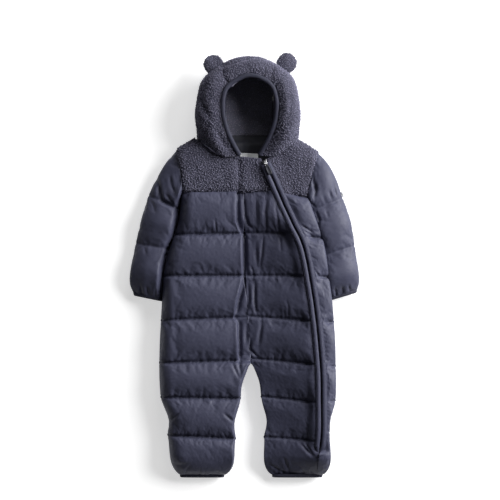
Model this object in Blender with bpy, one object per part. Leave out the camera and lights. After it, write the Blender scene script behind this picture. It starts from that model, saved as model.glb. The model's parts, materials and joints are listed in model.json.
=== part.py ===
"""A baby's padded snowsuit laid flat on its back.

A fleece hood with two round ears stands open over a fleece yoke, quilted fronts, backs and sleeves
lie on each other below it, and one long zip curves from the neck to the left ankle. Metres, +Z up,
+Y towards the hood, +X towards the wearer's left side. Left and right are always the wearer's.
"""
import math

import bpy
import bmesh
from mathutils import Vector

# ---- Driving dimensions ----------------------------------------------------------------------
GAP = 0.0003            # between two pieces that a seam or their own weight brings together
MIDDLE = 0.024          # height at which the fronts lie on the backs
HEM_MIDDLE = 0.0125     # the same height at the leg hems, which the binding draws flat
SEAM_THICKNESS = 0.0145  # a front wall at a quilting seam
PUFF_THICKNESS = 0.0320  # and in the middle of a channel
EDGE_THICKNESS = 0.0025  # any padded wall at its outer edge
YOKE_THICKNESS = 0.0205
BACK_YOKE_HEIGHT = 0.0210
HEM_THICKNESS = 0.0090
SIDE_ROUNDING = 0.028   # reach of the rounding along an outer edge
BACK_ROUNDING = 0.018   # under the same edge
SEAM_ROUNDING = 0.012   # and along a seam between two panels
SIDE_SLOPE = 0.12       # reach of the slow rise from the right side towards the centre
SIDE_SHARE = 0.82       # share of the full thickness where that rise starts
CENTRE_SLOPE = 0.120    # reach of the rise from the centre seam to the crest at the zip
CENTRE_SHARE = 0.30
CREST_SHARE = 1.22      # of the full thickness, on both sides of the zip
CENTRE_SEAM_SHARE = 0.62  # share of the full thickness that a seam between two panels keeps
YOKE_SEAM_SHARE = 0.72
STEPS_PER_CHANNEL = 4
CROTCH_Y = -0.192       # below here the legs part, over the length of the blend
CROTCH_BLEND = 0.020
HEM_FALL_START = -0.362  # below here the legs grow thin towards their hems
HEM_Y = -0.4018
HEM_EASE = 0.0006       # how much lower the backs end at the hem, where both layers bend

ZIP_GAP = 0.0040        # from the zip's line to the edge of a front
ZIP_FLAT = 0.0115       # reach of the flat ground that the zip and its welts lie on
ZIP_RISE = 0.0150       # reach of the rise beyond it
ZIP_THICKNESS = 0.0240  # a front wall under a welt, at the neck and at the ankle
ZIP_CREST = 0.0080      # how much thicker it is along the crest of the body, between
ZIP_CREST_ENDS = (0.150, 0.050, -0.300, -0.390)  # y where the crest starts, is full, and ends again
ZIP_TOP_Y = 0.1985
ZIP_BOTTOM_Y = -0.3560
ZIP_OPEN_Y = -0.3640    # the two fronts close up from here
ZIP_CLOSED_Y = -0.3780  # and are sewn together from here down
ZIP_CLOSED_GAP = 0.0003
WELT_WIDTH = 0.0090
WELT_HEIGHT = 0.0034
TAPE_THICKNESS = 0.0008
COIL_WIDTH = 0.0036
COIL_HEIGHT = 0.0016

HOOD_WALL = 0.0070
LINING_WALL = 0.0025
HOOD_MIDDLE_X = 0.0070  # the hood lies a little to the left of the body's middle
FACE_MIDDLE_X = 0.0104
BINDING_WIDTH = 0.0088
BINDING_HEIGHT = 0.0076
BINDING_DEPTH = 0.0030  # from the rim down to the binding's middle
EAR_RADIUS = 0.0200
EAR_THICKNESS = 0.0130
EAR_BELOW_MIDDLE = 0.0065  # from an ear's middle to the seam that holds it
EAR_HEIGHT = 0.0470     # of an ear's middle above the ground

SLEEVE_SLIT = 0.0028    # height of the slim space between a sleeve's two layers
SLEEVE_SIDE_WALL = 0.0110
SLEEVE_CLEARANCE = 0.0014  # from the body's side to a sleeve's inner edge
RING_POINTS = 14        # round each sleeve, cuff and hem
CUFF_BINDING_LENGTH = 0.0055
CUFF_WALL = 0.0060
CUFF_DRAW_IN = 0.0025

# The zip's line, from the neck to the ankle.
ZIP_LINE = [
    # x, y
    (0.0338, 0.2060), (0.0535, 0.1640), (0.0700, 0.1260), (0.0914, 0.0785),
    (0.1108, 0.0374), (0.1237, -0.0209), (0.1364, -0.1051), (0.1448, -0.1963),
    (0.1462, -0.2600), (0.1462, -0.3200), (0.1420, -0.3587), (0.1385, -0.4030),
]

# Outer and inner edges of the body and the legs: one row for each quilting seam. "bulge" is how
# far the edge stands out half way down to the next seam.
RIGHT_SIDE = [
    # seam, x, y, bulge
    ("yoke", -0.1191, 0.1374, -0.0020), ("chest", -0.1315, 0.0568, 0.0040),
    ("waist", -0.1535, -0.0213, 0.0008), ("hip", -0.1583, -0.1058, 0.0012),
    ("thigh", -0.1615, -0.1868, 0.0015), ("knee", -0.1590, -0.2525, -0.0070),
    ("shin", -0.1459, -0.3245, 0.0096), ("hem", -0.1226, HEM_Y, 0.0),
]
RIGHT_INNER = [
    ("yoke", -0.0005, 0.1400, 0.0), ("chest", 0.0015, 0.0590, 0.0),
    ("waist", 0.0025, -0.0213, 0.0), ("hip", 0.0060, -0.1000, 0.0),
    ("thigh", 0.0120, -0.1825, -0.0040), ("knee", -0.0072, -0.2550, -0.0055),
    ("shin", -0.0167, -0.3315, 0.0110), ("hem", -0.0385, HEM_Y, 0.0),
]
LEFT_INNER = [
    ("yoke", -0.0005, 0.1400, 0.0), ("chest", 0.0015, 0.0600, 0.0),
    ("waist", 0.0025, -0.0213, 0.0), ("hip", 0.0060, -0.0986, 0.0),
    ("thigh", 0.0120, -0.1790, -0.0040), ("knee", 0.0325, -0.2518, -0.0070),
    ("shin", 0.0378, -0.3289, 0.0102), ("hem", 0.0535, HEM_Y, 0.0),
]
LEFT_SIDE = [
    ("yoke", 0.1224, 0.1264, 0.0), ("chest", 0.1485, 0.0505, 0.0020),
    ("waist", 0.1602, -0.0234, 0.0015), ("hip", 0.1702, -0.1090, 0.0012),
    ("thigh", 0.1735, -0.1936, 0.0010), ("knee", 0.1735, -0.2590, -0.0030),
    ("shin", 0.1622, -0.3175, 0.0108), ("hem", 0.1492, HEM_Y, 0.0),
]
# Where the quilting seams meet the zip, on the centre front and on the left front.
ZIP_SEAMS = [
    # seam, y on the centre front, y on the left front
    ("yoke", 0.1400, 0.1370), ("chest", 0.0600, 0.0526), ("waist", -0.0213, -0.0234),
    ("hip", -0.1070, -0.1108), ("thigh", -0.1894, -0.1936), ("knee", -0.2622, -0.2597),
    ("shin", -0.3350, -0.3179), ("hem", HEM_Y, HEM_Y),
]

# Sleeve sections from the armhole to the cuff.
SLEEVE_RIGHT = [
    # section, outer x, outer y, inner y, height
    ("armhole", -0.1295, 0.2215, 0.1290, 0.0400), ("head", -0.1525, 0.1885, 0.1165, 0.0480),
    ("upper_seam", -0.1815, 0.1315, 0.1040, 0.0370), ("upper_puff", -0.1955, 0.0880, 0.0680, 0.0490),
    ("lower_seam", -0.2062, 0.0405, 0.0290, 0.0370), ("lower_puff", -0.2155, -0.0060, -0.0180, 0.0470),
    ("wrist", -0.2172, -0.0340, -0.0480, 0.0360), ("cuff", -0.2105, -0.0545, -0.0665, 0.0230),
]
SLEEVE_LEFT = [
    ("armhole", 0.1418, 0.2130, 0.1225, 0.0400), ("head", 0.1635, 0.1830, 0.1120, 0.0480),
    ("upper_seam", 0.1860, 0.1264, 0.1010, 0.0370), ("upper_puff", 0.2005, 0.0830, 0.0600, 0.0490),
    ("lower_seam", 0.2085, 0.0360, 0.0170, 0.0370), ("lower_puff", 0.2150, -0.0050, -0.0230, 0.0470),
    ("wrist", 0.2172, -0.0320, -0.0480, 0.0360), ("cuff", 0.2135, -0.0485, -0.0650, 0.0230),
]

# Hood sections from the neck seam round to the crown, for one half. Each runs from the rim of the
# face over the ridge and the outer side to the ground, and along it to the centre strip.
HOOD_SECTIONS = [
    # section, rim (out, y, z), ridge (out, y, z), side (out, y, z), ground (out, y), strip (out, y)
    ("neck", (0.0220, 0.2060, 0.0490), (0.0520, 0.2060, 0.0530), (0.0973, 0.2370, 0.0250),
     (0.0760, 0.2380), (0.0455, 0.2310)),
    ("jaw", (0.0455, 0.2475, 0.0620), (0.0690, 0.2450, 0.0700), (0.0985, 0.2600, 0.0380),
     (0.0750, 0.2610), (0.0465, 0.2620)),
    ("cheek", (0.0563, 0.2950, 0.0740), (0.0745, 0.2960, 0.0800), (0.1000, 0.2950, 0.0410),
     (0.0750, 0.2950), (0.0475, 0.2950)),
    ("temple", (0.0505, 0.3330, 0.0790), (0.0680, 0.3400, 0.0830), (0.0890, 0.3530, 0.0420),
     (0.0690, 0.3400), (0.0485, 0.3250)),
    ("seam", (0.0395, 0.3470, 0.0798), (0.0460, 0.3650, 0.0830), (0.0510, 0.3870, 0.0420),
     (0.0500, 0.3620), (0.0490, 0.3480)),
]
CROWN = {
    # y, z down the middle of the strip
    "rim": (0.3625, 0.0800), "ridge": (0.3760, 0.0830), "side": (0.3985, 0.0400),
    "ground": (0.3740, 0.0), "facing": (0.2950, 0.0), "nape": (0.2290, 0.0),
}
NECK_STRIP_EDGE = (0.0455, 0.2310)

EARS = [
    # ear, x, y, direction of its seam's normal in degrees
    ("right", -0.0590, 0.3810, 127.0), ("left", 0.0802, 0.3840, 48.0),
]
# How far the crown has sunk on the right half, at its outer side.
RIGHT_DROOP = {"seam": 0.0110, "temple": 0.0040}
NAPE_CLEARANCE = 0.0022  # from the hood to the back yoke, under the rounded side
SIDE_ROW = 6            # the row of a hood grid that runs along the outer side
NECK_FRONT_Y = 0.2025   # the front's upper edge between the ends of the hood
SHOULDER_RIGHT = Vector((-0.1285, 0.2220))
SHOULDER_LEFT = Vector((0.1408, 0.2135))


# ---- Materials -------------------------------------------------------------------------------
def material(name, colour, roughness, metallic=0.0):
    made = bpy.data.materials.new(name)
    made.use_nodes = True
    shader = made.node_tree.nodes["Principled BSDF"]
    shader.inputs["Base Color"].default_value = (*colour, 1.0)
    shader.inputs["Roughness"].default_value = roughness
    shader.inputs["Metallic"].default_value = metallic
    return made


SHELL = material("shell", (0.045, 0.048, 0.078), 0.42)
FLEECE = material("fleece", (0.085, 0.083, 0.125), 0.95)
LINING = material("lining_fleece", (0.060, 0.060, 0.090), 0.95)
FACING = material("plain_facing", (0.040, 0.042, 0.070), 0.70)
BINDING = material("binding", (0.045, 0.047, 0.078), 0.65)
ZIP_TAPE = material("zip_tape", (0.022, 0.023, 0.036), 0.75)
METAL = material("slider_metal", (0.62, 0.62, 0.64), 0.25, 1.0)
PULL = material("pull", (0.022, 0.023, 0.035), 0.55)
LABEL = material("label", (0.72, 0.72, 0.73), 0.75)


# ---- Geometry helpers ------------------------------------------------------------------------
def finish(name, bm, finish_material, smooth_angle=50.0):
    """Turn a bmesh into a named object with its faces pointing out."""
    bmesh.ops.recalc_face_normals(bm, faces=bm.faces[:])
    mesh = bpy.data.meshes.new(name)
    bm.to_mesh(mesh)
    bm.free()
    mesh.materials.append(finish_material)
    mesh.shade_smooth()
    mesh.set_sharp_from_angle(angle=math.radians(smooth_angle))
    made = bpy.data.objects.new(name, mesh)
    bpy.context.scene.collection.objects.link(made)
    return made


def wall_between(name, top, bottom, finish_material):
    """Close the space between two grids of points that have the same rows and columns."""
    bm = bmesh.new()
    upper = [[bm.verts.new(point) for point in row] for row in top]
    lower = [[bm.verts.new(point) for point in row] for row in bottom]
    last_row = len(top) - 1
    last_column = len(top[0]) - 1
    for row in range(last_row):
        for column in range(last_column):
            for layer in (upper, lower):
                bm.faces.new((layer[row][column], layer[row][column + 1],
                              layer[row + 1][column + 1], layer[row + 1][column]))
        for column in (0, last_column):
            bm.faces.new((upper[row][column], upper[row + 1][column],
                          lower[row + 1][column], lower[row][column]))
    for row in (0, last_row):
        for column in range(last_column):
            bm.faces.new((upper[row][column], upper[row][column + 1],
                          lower[row][column + 1], lower[row][column]))
    return finish(name, bm, finish_material)


def loft(name, rings, finish_material, joined=False):
    """Skin closed rings of equal count: capped at both ends, or joined last to first."""
    bm = bmesh.new()
    loops = [[bm.verts.new(point) for point in ring] for ring in rings]
    count = len(rings[0])
    pairs = list(zip(loops, loops[1:]))
    if joined:
        pairs.append((loops[-1], loops[0]))
    else:
        bm.faces.new(loops[0])
        bm.faces.new(loops[-1])
    for first, second in pairs:
        for index in range(count):
            following = (index + 1) % count
            bm.faces.new((first[index], first[following], second[following], second[index]))
    return finish(name, bm, finish_material)


def spline_point(points, position):
    """A point on the Catmull-Rom curve through the points; position counts them from 0."""
    last = len(points) - 1
    index = min(int(position), last - 1)
    t = position - index
    before = points[max(index - 1, 0)]
    start = points[index]
    end = points[index + 1]
    after = points[min(index + 2, last)]
    return 0.5 * (2 * start + (end - before) * t + (2 * before - 5 * start + 4 * end - after) * t ** 2
                  + (3 * start - before - 3 * end + after) * t ** 3)


def spline(points, steps):
    """The curve through the points, with a number of steps from each to the next."""
    count = (len(points) - 1) * steps
    return [spline_point(points, index / steps) for index in range(count + 1)]


def smooth_step(value):
    value = min(max(value, 0.0), 1.0)
    return value * value * (3 - 2 * value)


def rounding(distance, reach, floor=0.0):
    """The rise from an edge, as a quarter circle from floor to 1 over the reach."""
    share = min(max(distance / reach, 0.0), 1.0)
    return floor + (1 - floor) * math.sqrt(1 - (1 - share) ** 2)


def near_hem(y):
    """0 above the last few centimetres of a leg, 1 at its hem."""
    return smooth_step((HEM_FALL_START - y) / (HEM_FALL_START - HEM_Y))


def middle_height(y):
    return MIDDLE + (HEM_MIDDLE - MIDDLE) * near_hem(y)


def zip_thickness(y):
    """A front wall under a welt: highest along the crest of the body."""
    upper, full, lower, end = ZIP_CREST_ENDS
    rise = smooth_step((upper - y) / (upper - full)) * smooth_step((y - end) / (lower - end))
    return ZIP_THICKNESS + ZIP_CREST * rise


def lying_height(point):
    """Height of the flat ground beside the zip."""
    return middle_height(point.y) + zip_thickness(point.y)


ZIP_CURVE = spline([Vector(point) for point in ZIP_LINE], 6)


def zip_x(y):
    """Where the zip's line is at a height y of the garment."""
    for above, below in zip(ZIP_CURVE, ZIP_CURVE[1:]):
        if below.y <= y:
            return above.x + (below.x - above.x) * (above.y - y) / (above.y - below.y)
    return ZIP_CURVE[-1].x


def edge_point(edge, channel, share, outward):
    """A point of an edge table, part of the way down a channel."""
    upper = edge[channel]
    lower = edge[min(channel + 1, len(edge) - 1)]
    fullness = share ** 2 if upper[0] == "shin" else share  # a foot is fullest just above its hem
    bulge = upper[3] * math.sin(math.pi * fullness) ** 0.6 if 0 < share < 1 else 0.0
    return Vector((upper[1] + (lower[1] - upper[1]) * share + outward * bulge,
                   upper[2] + (lower[2] - upper[2]) * share))


def zip_open(y):
    """1 beside the zip, 0 below its end, where the two fronts are sewn together."""
    return smooth_step((y - ZIP_CLOSED_Y) / (ZIP_OPEN_Y - ZIP_CLOSED_Y))


def zip_point(channel, share, column, side):
    """A point on the edge of a front beside the zip; side is -1 for the centre front."""
    upper = ZIP_SEAMS[channel][column]
    lower = ZIP_SEAMS[min(channel + 1, len(ZIP_SEAMS) - 1)][column]
    y = upper + (lower - upper) * share
    gap = ZIP_CLOSED_GAP + (ZIP_GAP - ZIP_CLOSED_GAP) * zip_open(y)
    return Vector((zip_x(y) + side * gap, y))


# ---- Quilted fronts and backs ----------------------------------------------------------------
def stations():
    """Every row of a quilted panel: its channel and how far down the channel it is."""
    rows = []
    for channel in range(len(RIGHT_SIDE) - 1):
        rows += [(channel, step / STEPS_PER_CHANNEL) for step in range(STEPS_PER_CHANNEL)]
    return rows + [(len(RIGHT_SIDE) - 1, 0.0)]


def column_places(width, left_steps, right_steps, middle):
    """Distances from the left edge: close rows along both edges, even ones between them."""
    scale = min(1.0, 0.85 * width / (left_steps[-1] + right_steps[-1]))
    left = [scale * step for step in left_steps]
    right = [width - scale * step for step in reversed(right_steps)]
    inside = [left[-1] + (right[0] - left[-1]) * (index + 1) / (middle + 1) for index in range(middle)]
    return left + inside + right


def above_crotch(y):
    """1 where the two halves are sewn together, 0 where their inner edges are the legs' own."""
    return smooth_step((y - CROTCH_Y) / CROTCH_BLEND)


STEPS = {
    "side": (0.0, 0.0025, 0.0090, 0.0200),
    "inner": (0.0, 0.0025, 0.0100, 0.0210),
    "zip": (0.0, ZIP_FLAT - ZIP_GAP, 0.0200),
}


def edge_share(kind, distance, y):
    """Share of the full thickness at a distance from an edge of one kind."""
    if kind == "side":
        return rounding(distance, SIDE_ROUNDING)
    if kind == "inner":
        sewn = above_crotch(y)
        reach = SIDE_ROUNDING + (SEAM_ROUNDING - SIDE_ROUNDING) * sewn
        return rounding(distance, reach, CENTRE_SEAM_SHARE * sewn)
    return max(smooth_step((distance + ZIP_GAP - ZIP_FLAT) / ZIP_RISE), 1 - zip_open(y))


def slow_rise(name, left_distance):
    """The body's broad form: each half rises slowly towards the wearer's left."""
    if name == "front_right":
        return SIDE_SHARE + (1 - SIDE_SHARE) * min(left_distance / SIDE_SLOPE, 1.0)
    if name == "front_centre":
        return CENTRE_SHARE + (CREST_SHARE - CENTRE_SHARE) * smooth_step(left_distance / CENTRE_SLOPE)
    return CREST_SHARE


def wall_thickness(channel, share, y):
    """Thickness of a front in the middle of a row: thin at the seams, full between them."""
    seam = SEAM_THICKNESS + (HEM_THICKNESS - SEAM_THICKNESS) * near_hem(y)
    return seam + (PUFF_THICKNESS - SEAM_THICKNESS) * math.sin(math.pi * share) ** 0.7


def quilted_front(name, left_edge, right_edge, left_kind, right_kind, middle):
    """A padded front that lies on the back; its edges are functions of channel and share."""
    top = []
    bottom = []
    for channel, share in stations():
        left = left_edge(channel, share)
        right = right_edge(channel, share)
        width = (right - left).length
        upper_row = []
        lower_row = []
        for place in column_places(width, STEPS[left_kind], STEPS[right_kind], middle):
            point = left.lerp(right, place / width)
            base = middle_height(point.y) + GAP
            full = wall_thickness(channel, share, point.y)
            from_zip = []
            profile = slow_rise(name, place)
            for kind, distance in ((left_kind, place), (right_kind, width - place)):
                if kind == "zip":
                    from_zip.append(edge_share(kind, distance, point.y))
                else:
                    profile *= edge_share(kind, distance, point.y)
            height = EDGE_THICKNESS + (full - EDGE_THICKNESS) * profile
            for away in from_zip:
                flat = zip_thickness(point.y) - GAP
                height = flat + (height - flat) * away
            upper_row.append((point.x, point.y, base + height))
            lower_row.append((point.x, point.y, base))
        top.append(upper_row)
        bottom.append(lower_row)
    return wall_between(name, top, bottom, SHELL)


def quilted_back(name, left_edge, right_edge, left_kind, right_kind):
    """A padded back: flat on the ground, rounded up to the seam at its open edges."""
    top = []
    bottom = []
    for channel, share in stations():
        if share not in (0.0, 0.5) and RIGHT_SIDE[channel][0] != "shin":
            continue
        left = left_edge(channel, share)
        right = right_edge(channel, share)
        width = (right - left).length
        upper_row = []
        lower_row = []
        for place in column_places(width, STEPS[left_kind], STEPS[right_kind], 1):
            point = left.lerp(right, place / width)
            height = middle_height(point.y) - GAP - HEM_EASE * near_hem(point.y)
            profile = 1.0
            for kind, distance in ((left_kind, place), (right_kind, width - place)):
                if kind == "inner" and above_crotch(point.y) > 0.5:
                    continue
                profile *= rounding(distance, BACK_ROUNDING)
            upper_row.append((point.x, point.y, height))
            lower_row.append((point.x, point.y, (height - EDGE_THICKNESS) * (1 - profile)))
        top.append(upper_row)
        bottom.append(lower_row)
    return wall_between(name, top, bottom, SHELL)


def right_side(channel, share):
    return edge_point(RIGHT_SIDE, channel, share, -1)


def right_inner(channel, share):
    return edge_point(RIGHT_INNER, channel, share, 1) - Vector((GAP, 0))


def left_inner(channel, share):
    return edge_point(LEFT_INNER, channel, share, -1) + Vector((GAP, 0))


def left_side(channel, share):
    return edge_point(LEFT_SIDE, channel, share, 1)


def zip_edge_centre(channel, share):
    return zip_point(channel, share, 1, -1)


def zip_edge_left(channel, share):
    return zip_point(channel, share, 2, 1)


# ---- Hood ------------------------------------------------------------------------------------
def rounded_profile(rim, ridge, side, ground):
    """Points from the rim to the ground, with a quarter ellipse above the side and one below it."""
    shoulder = ridge.lerp(side, math.sin(math.pi / 4))
    shoulder.z = ridge.z + (side.z - ridge.z) * (1 - math.sin(math.pi / 4))
    under = side.lerp(ground, 1 - math.sin(math.pi / 4))
    under.z = side.z * (1 - math.sin(math.pi / 4))
    return [rim, ridge, shoulder, side, under, ground]


def hood_section(row, half):
    """One section of the hood as points; half is -1 for the right side and 1 for the left."""
    rim, ridge, side, ground, strip = row[1:]
    droop = RIGHT_DROOP.get(row[0], 0.0) if half < 0 else 0.0
    ridge_middle = (FACE_MIDDLE_X + HOOD_MIDDLE_X) / 2
    profile = rounded_profile(
        Vector((FACE_MIDDLE_X + half * rim[0], rim[1] - droop / 3, rim[2])),
        Vector((ridge_middle + half * ridge[0], ridge[1] - droop, ridge[2])),
        Vector((HOOD_MIDDLE_X + half * side[0], side[1] - droop, side[2])),
        Vector((HOOD_MIDDLE_X + half * ground[0], ground[1] - droop, 0.0)))
    return profile + [Vector((HOOD_MIDDLE_X + half * strip[0], strip[1] - droop, 0.0))]


def grounded(point):
    return Vector((point.x, point.y, max(point.z, 0.0)))


def smooth_grid(sections, row_steps, section_steps):
    """A grid of points through the sections, smooth both ways, and never below the ground."""
    lines = [spline(section, row_steps) for section in sections]
    rows = [spline([line[index] for line in lines], section_steps) for index in range(len(lines[0]))]
    return [[grounded(point) for point in row] for row in rows]


def side_grid(half):
    """Outer surface of one hood side: rows from rim to centre strip, columns from neck to seam."""
    grid = smooth_grid([hood_section(row, half) for row in HOOD_SECTIONS], 2, 2)
    for row in grid:
        row[-1] = row[-1] + Vector((half * 2 * GAP, 0, 0))
    return grid


def arched(middle, edge):
    """Half way from the strip's middle to its edge, where an arch has fallen by a quarter."""
    point = middle.lerp(edge, 0.25)
    point.x = (middle.x + edge.x) / 2
    return point


def strip_grid():
    """Outer surface of the centre strip, from the rim over the crown and down to the nape."""
    sections = []
    for half in (-1, 1):
        section = hood_section(HOOD_SECTIONS[-1], half)
        section.append(Vector((HOOD_MIDDLE_X + half * 0.0475, CROWN["facing"][0], 0.0)))
        section.append(Vector((HOOD_MIDDLE_X + half * NECK_STRIP_EDGE[0], NECK_STRIP_EDGE[1], 0.0)))
        sections.append([point - Vector((half * 2 * GAP, 0, 0)) for point in section])
    top = [Vector((FACE_MIDDLE_X, *CROWN["rim"])), Vector((HOOD_MIDDLE_X + 0.0017, *CROWN["ridge"]))]
    top += [Vector((HOOD_MIDDLE_X, *CROWN[name])) for name in ("side", "ground")]
    middle = rounded_profile(*top)
    middle.append(middle[-1].lerp(Vector((HOOD_MIDDLE_X, *CROWN["facing"])), 0.2))
    middle += [Vector((HOOD_MIDDLE_X, *CROWN[name])) for name in ("facing", "nape")]
    between = [[arched(*pair) for pair in zip(middle, section)] for section in sections]
    return smooth_grid([sections[0], between[0], middle, between[1], sections[1]], 2, 2)


def inward_offsets(grid, depth, seams):
    """The grid moved inwards along its normals; a seam's columns keep their distance along X.

    Both pieces that meet at a seam then move by the same direction, worked out from the seam alone.
    """
    last_row = len(grid) - 1
    last_column = len(grid[0]) - 1
    centre = Vector((HOOD_MIDDLE_X, CROWN["facing"][0], CROWN["side"][1]))
    moved = []
    for row in range(last_row + 1):
        line = []
        for column in range(last_column + 1):
            along = grid[min(row + 1, last_row)][column] - grid[max(row - 1, 0)][column]
            across = grid[row][min(column + 1, last_column)] - grid[row][max(column - 1, 0)]
            if column in seams:
                across = Vector((1, 0, 0))
            normal = along.cross(across).normalized()
            if normal.dot(centre - grid[row][column]) < 0:
                normal = -normal
            line.append(grid[row][column] + normal * depth)
        moved.append(line)
    return moved


def hood_pieces():
    """Three outer panels and the lining that shows inside them."""
    grids = {"side_right": side_grid(-1), "side_left": side_grid(1), "centre": strip_grid()}
    for name, grid in grids.items():
        last = len(grid[0]) - 1
        seams = (0, last) if name == "centre" else (last,)
        wall_between("hood_" + name, grid, inward_offsets(grid, HOOD_WALL, seams), FLEECE)
        lined_rows = slice(1, -1 if name == "centre" else None)
        outer = inward_offsets(grid, HOOD_WALL + 2 * GAP, seams)[lined_rows]
        inner = inward_offsets(grid, HOOD_WALL + 2 * GAP + LINING_WALL, seams)[lined_rows]
        wall_between("lining_" + name.replace("side_", ""), outer, inner, LINING)
    return grids


def rim_line(grids):
    """The rim of the face from the chin's right end over the brow to its left end."""
    right = list(grids["side_right"][0])
    crown = list(grids["centre"][0])
    left = list(reversed(grids["side_left"][0]))
    return right + crown[1:-1] + left


def rounded_ring(centre, across, up):
    """A section of the hood's binding, with softened corners."""
    ring = []
    for index in range(8):
        angle = 2 * math.pi * index / 8
        along = math.copysign(abs(math.cos(angle)) ** 0.8, math.cos(angle))
        rise = math.copysign(abs(math.sin(angle)) ** 0.8, math.sin(angle))
        ring.append(centre + across * (along * BINDING_WIDTH / 2) + up * (rise * BINDING_HEIGHT / 2))
    return ring


def hood_binding(grids):
    """The elastic binding that runs round the inside of the rim."""
    rim = rim_line(grids)
    middle = Vector((FACE_MIDDLE_X, CROWN["facing"][0], 0.0))
    rings = []
    for index, point in enumerate(rim):
        ahead = rim[min(index + 1, len(rim) - 1)]
        behind = rim[max(index - 1, 0)]
        run = (ahead - behind).normalized()
        across = run.cross(Vector((0, 0, 1))).normalized()
        if across.dot(middle - point) < 0:
            across = -across
        up = run.cross(across).normalized()
        if up.z < 0:
            up = -up
        centre = point + across * (BINDING_WIDTH / 2 + 2 * GAP) - up * BINDING_DEPTH
        rings.append(rounded_ring(centre, across, up))
    loft("hood_binding", rings, BINDING)


def ear(name, x, y, facing):
    """A flat round ear, cut straight where the hood's seam holds it."""
    bm = bmesh.new()
    bmesh.ops.create_uvsphere(bm, u_segments=16, v_segments=8, radius=EAR_RADIUS)
    bmesh.ops.scale(bm, vec=(1, 1, EAR_THICKNESS / 2 / EAR_RADIUS), verts=bm.verts[:])
    bmesh.ops.translate(bm, vec=(x, y, EAR_HEIGHT), verts=bm.verts[:])
    outward = Vector((math.cos(math.radians(facing)), math.sin(math.radians(facing)), 0))
    cut_at = Vector((x, y, EAR_HEIGHT)) - outward * EAR_BELOW_MIDDLE
    bmesh.ops.bisect_plane(bm, geom=bm.verts[:] + bm.edges[:] + bm.faces[:], dist=1e-6,
                           plane_co=cut_at, plane_no=outward, clear_inner=True)
    rim = [edge for edge in bm.edges if edge.is_boundary]
    bmesh.ops.contextual_create(bm, geom=rim)
    return finish("ear_" + name, bm, FLEECE)


# ---- Yokes -----------------------------------------------------------------------------------
def shoulder_share(point, shoulder, neck):
    """The rise of a front yoke from its shoulder seam."""
    run = (neck - shoulder).normalized()
    beyond = (point - shoulder).dot(run)
    nearest = shoulder + run * min(max(beyond, -0.03), (neck - shoulder).length)
    return rounding((point - nearest).length, SIDE_ROUNDING, 0.0)


def yoke_front(name, upper, lower, shoulder, neck, zip_side):
    """A fleece yoke front, ruled from its upper edge to the straight yoke seam.

    The last column follows the zip, and the one before it ends the flat ground beside it.
    """
    steps = 5
    top = []
    bottom = []
    for step in range(steps + 1):
        share = step / steps
        upper_row = []
        lower_row = []
        last = len(upper) - 1
        for column, (above, below) in enumerate(zip(upper, lower)):
            point = above.lerp(below, share)
            if column >= last - 1:
                away = ZIP_GAP if column == last else ZIP_FLAT
                point.x = zip_x(point.y) + zip_side * away
            base = MIDDLE + GAP
            from_armhole = abs(point.x - (shoulder.x + (lower[0].x - shoulder.x) * share))
            profile = shoulder_share(point, shoulder, neck)
            profile *= rounding(from_armhole, SEAM_ROUNDING, CENTRE_SEAM_SHARE)
            profile *= rounding((1 - share) * (above.y - below.y), SEAM_ROUNDING, YOKE_SEAM_SHARE)
            height = EDGE_THICKNESS + (YOKE_THICKNESS - EDGE_THICKNESS) * profile
            if column >= last - 1:
                height = zip_thickness(point.y) - GAP
            upper_row.append((point.x, point.y, base + height))
            lower_row.append((point.x, point.y, base))
        top.append(upper_row)
        bottom.append(lower_row)
    return wall_between(name, top, bottom, FLEECE)


def along_line(points, x):
    """The point at x on a line of points that runs across the garment."""
    for start, end in zip(points, points[1:]):
        if min(start.x, end.x) <= x <= max(start.x, end.x):
            return start.lerp(end, (x - start.x) / (end.x - start.x))
    return points[-1]


def neck_edge(grid, half):
    """Plan points where a yoke front meets the hood, from the shoulder's neck end to the chin."""
    column = [row[0] for row in grid]
    above = [point for point in column if point.z > MIDDLE]
    above = above[:SIDE_ROW + 1]
    edge = [Vector((point.x + half * GAP, point.y - 3 * GAP)) for point in reversed(above)]
    return edge


def yokes(grids):
    for half, side, shoulder, edge, zip_side, zip_column in (
            (-1, "right", SHOULDER_RIGHT, RIGHT_SIDE, -1, 1), (1, "left", SHOULDER_LEFT, LEFT_SIDE, 1, 2)):
        neck = neck_edge(grids["side_" + side], half)
        zip_upper = Vector((zip_x(NECK_FRONT_Y) + zip_side * ZIP_GAP, NECK_FRONT_Y))
        flat_upper = Vector((zip_x(NECK_FRONT_Y) + zip_side * ZIP_FLAT, NECK_FRONT_Y))
        upper = [shoulder, shoulder.lerp(neck[0], 0.5)] + neck
        if side == "right":
            upper += [Vector((HOOD_MIDDLE_X, NECK_FRONT_Y))]
        else:
            upper = [point for point in upper if point.x > flat_upper.x + ZIP_GAP]
        upper += [flat_upper, zip_upper]
        end_y = ZIP_SEAMS[0][zip_column] + 2 * GAP
        end = Vector((zip_x(end_y) + zip_side * ZIP_GAP, end_y))
        seam = [Vector((edge[0][1], edge[0][2] + 2 * GAP)), end]
        if side == "right":
            seam.insert(1, Vector((RIGHT_INNER[0][1], RIGHT_INNER[0][2] + 2 * GAP)))
        flat_x = end.x + zip_side * (ZIP_FLAT - ZIP_GAP)
        spans = len(upper) - 2
        lower = [along_line(seam, seam[0].x + (flat_x - seam[0].x) * index / spans)
                 for index in range(spans + 1)] + [end]
        yoke_front("yoke_front_" + side, upper, lower, shoulder, neck[0], zip_side)


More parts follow.
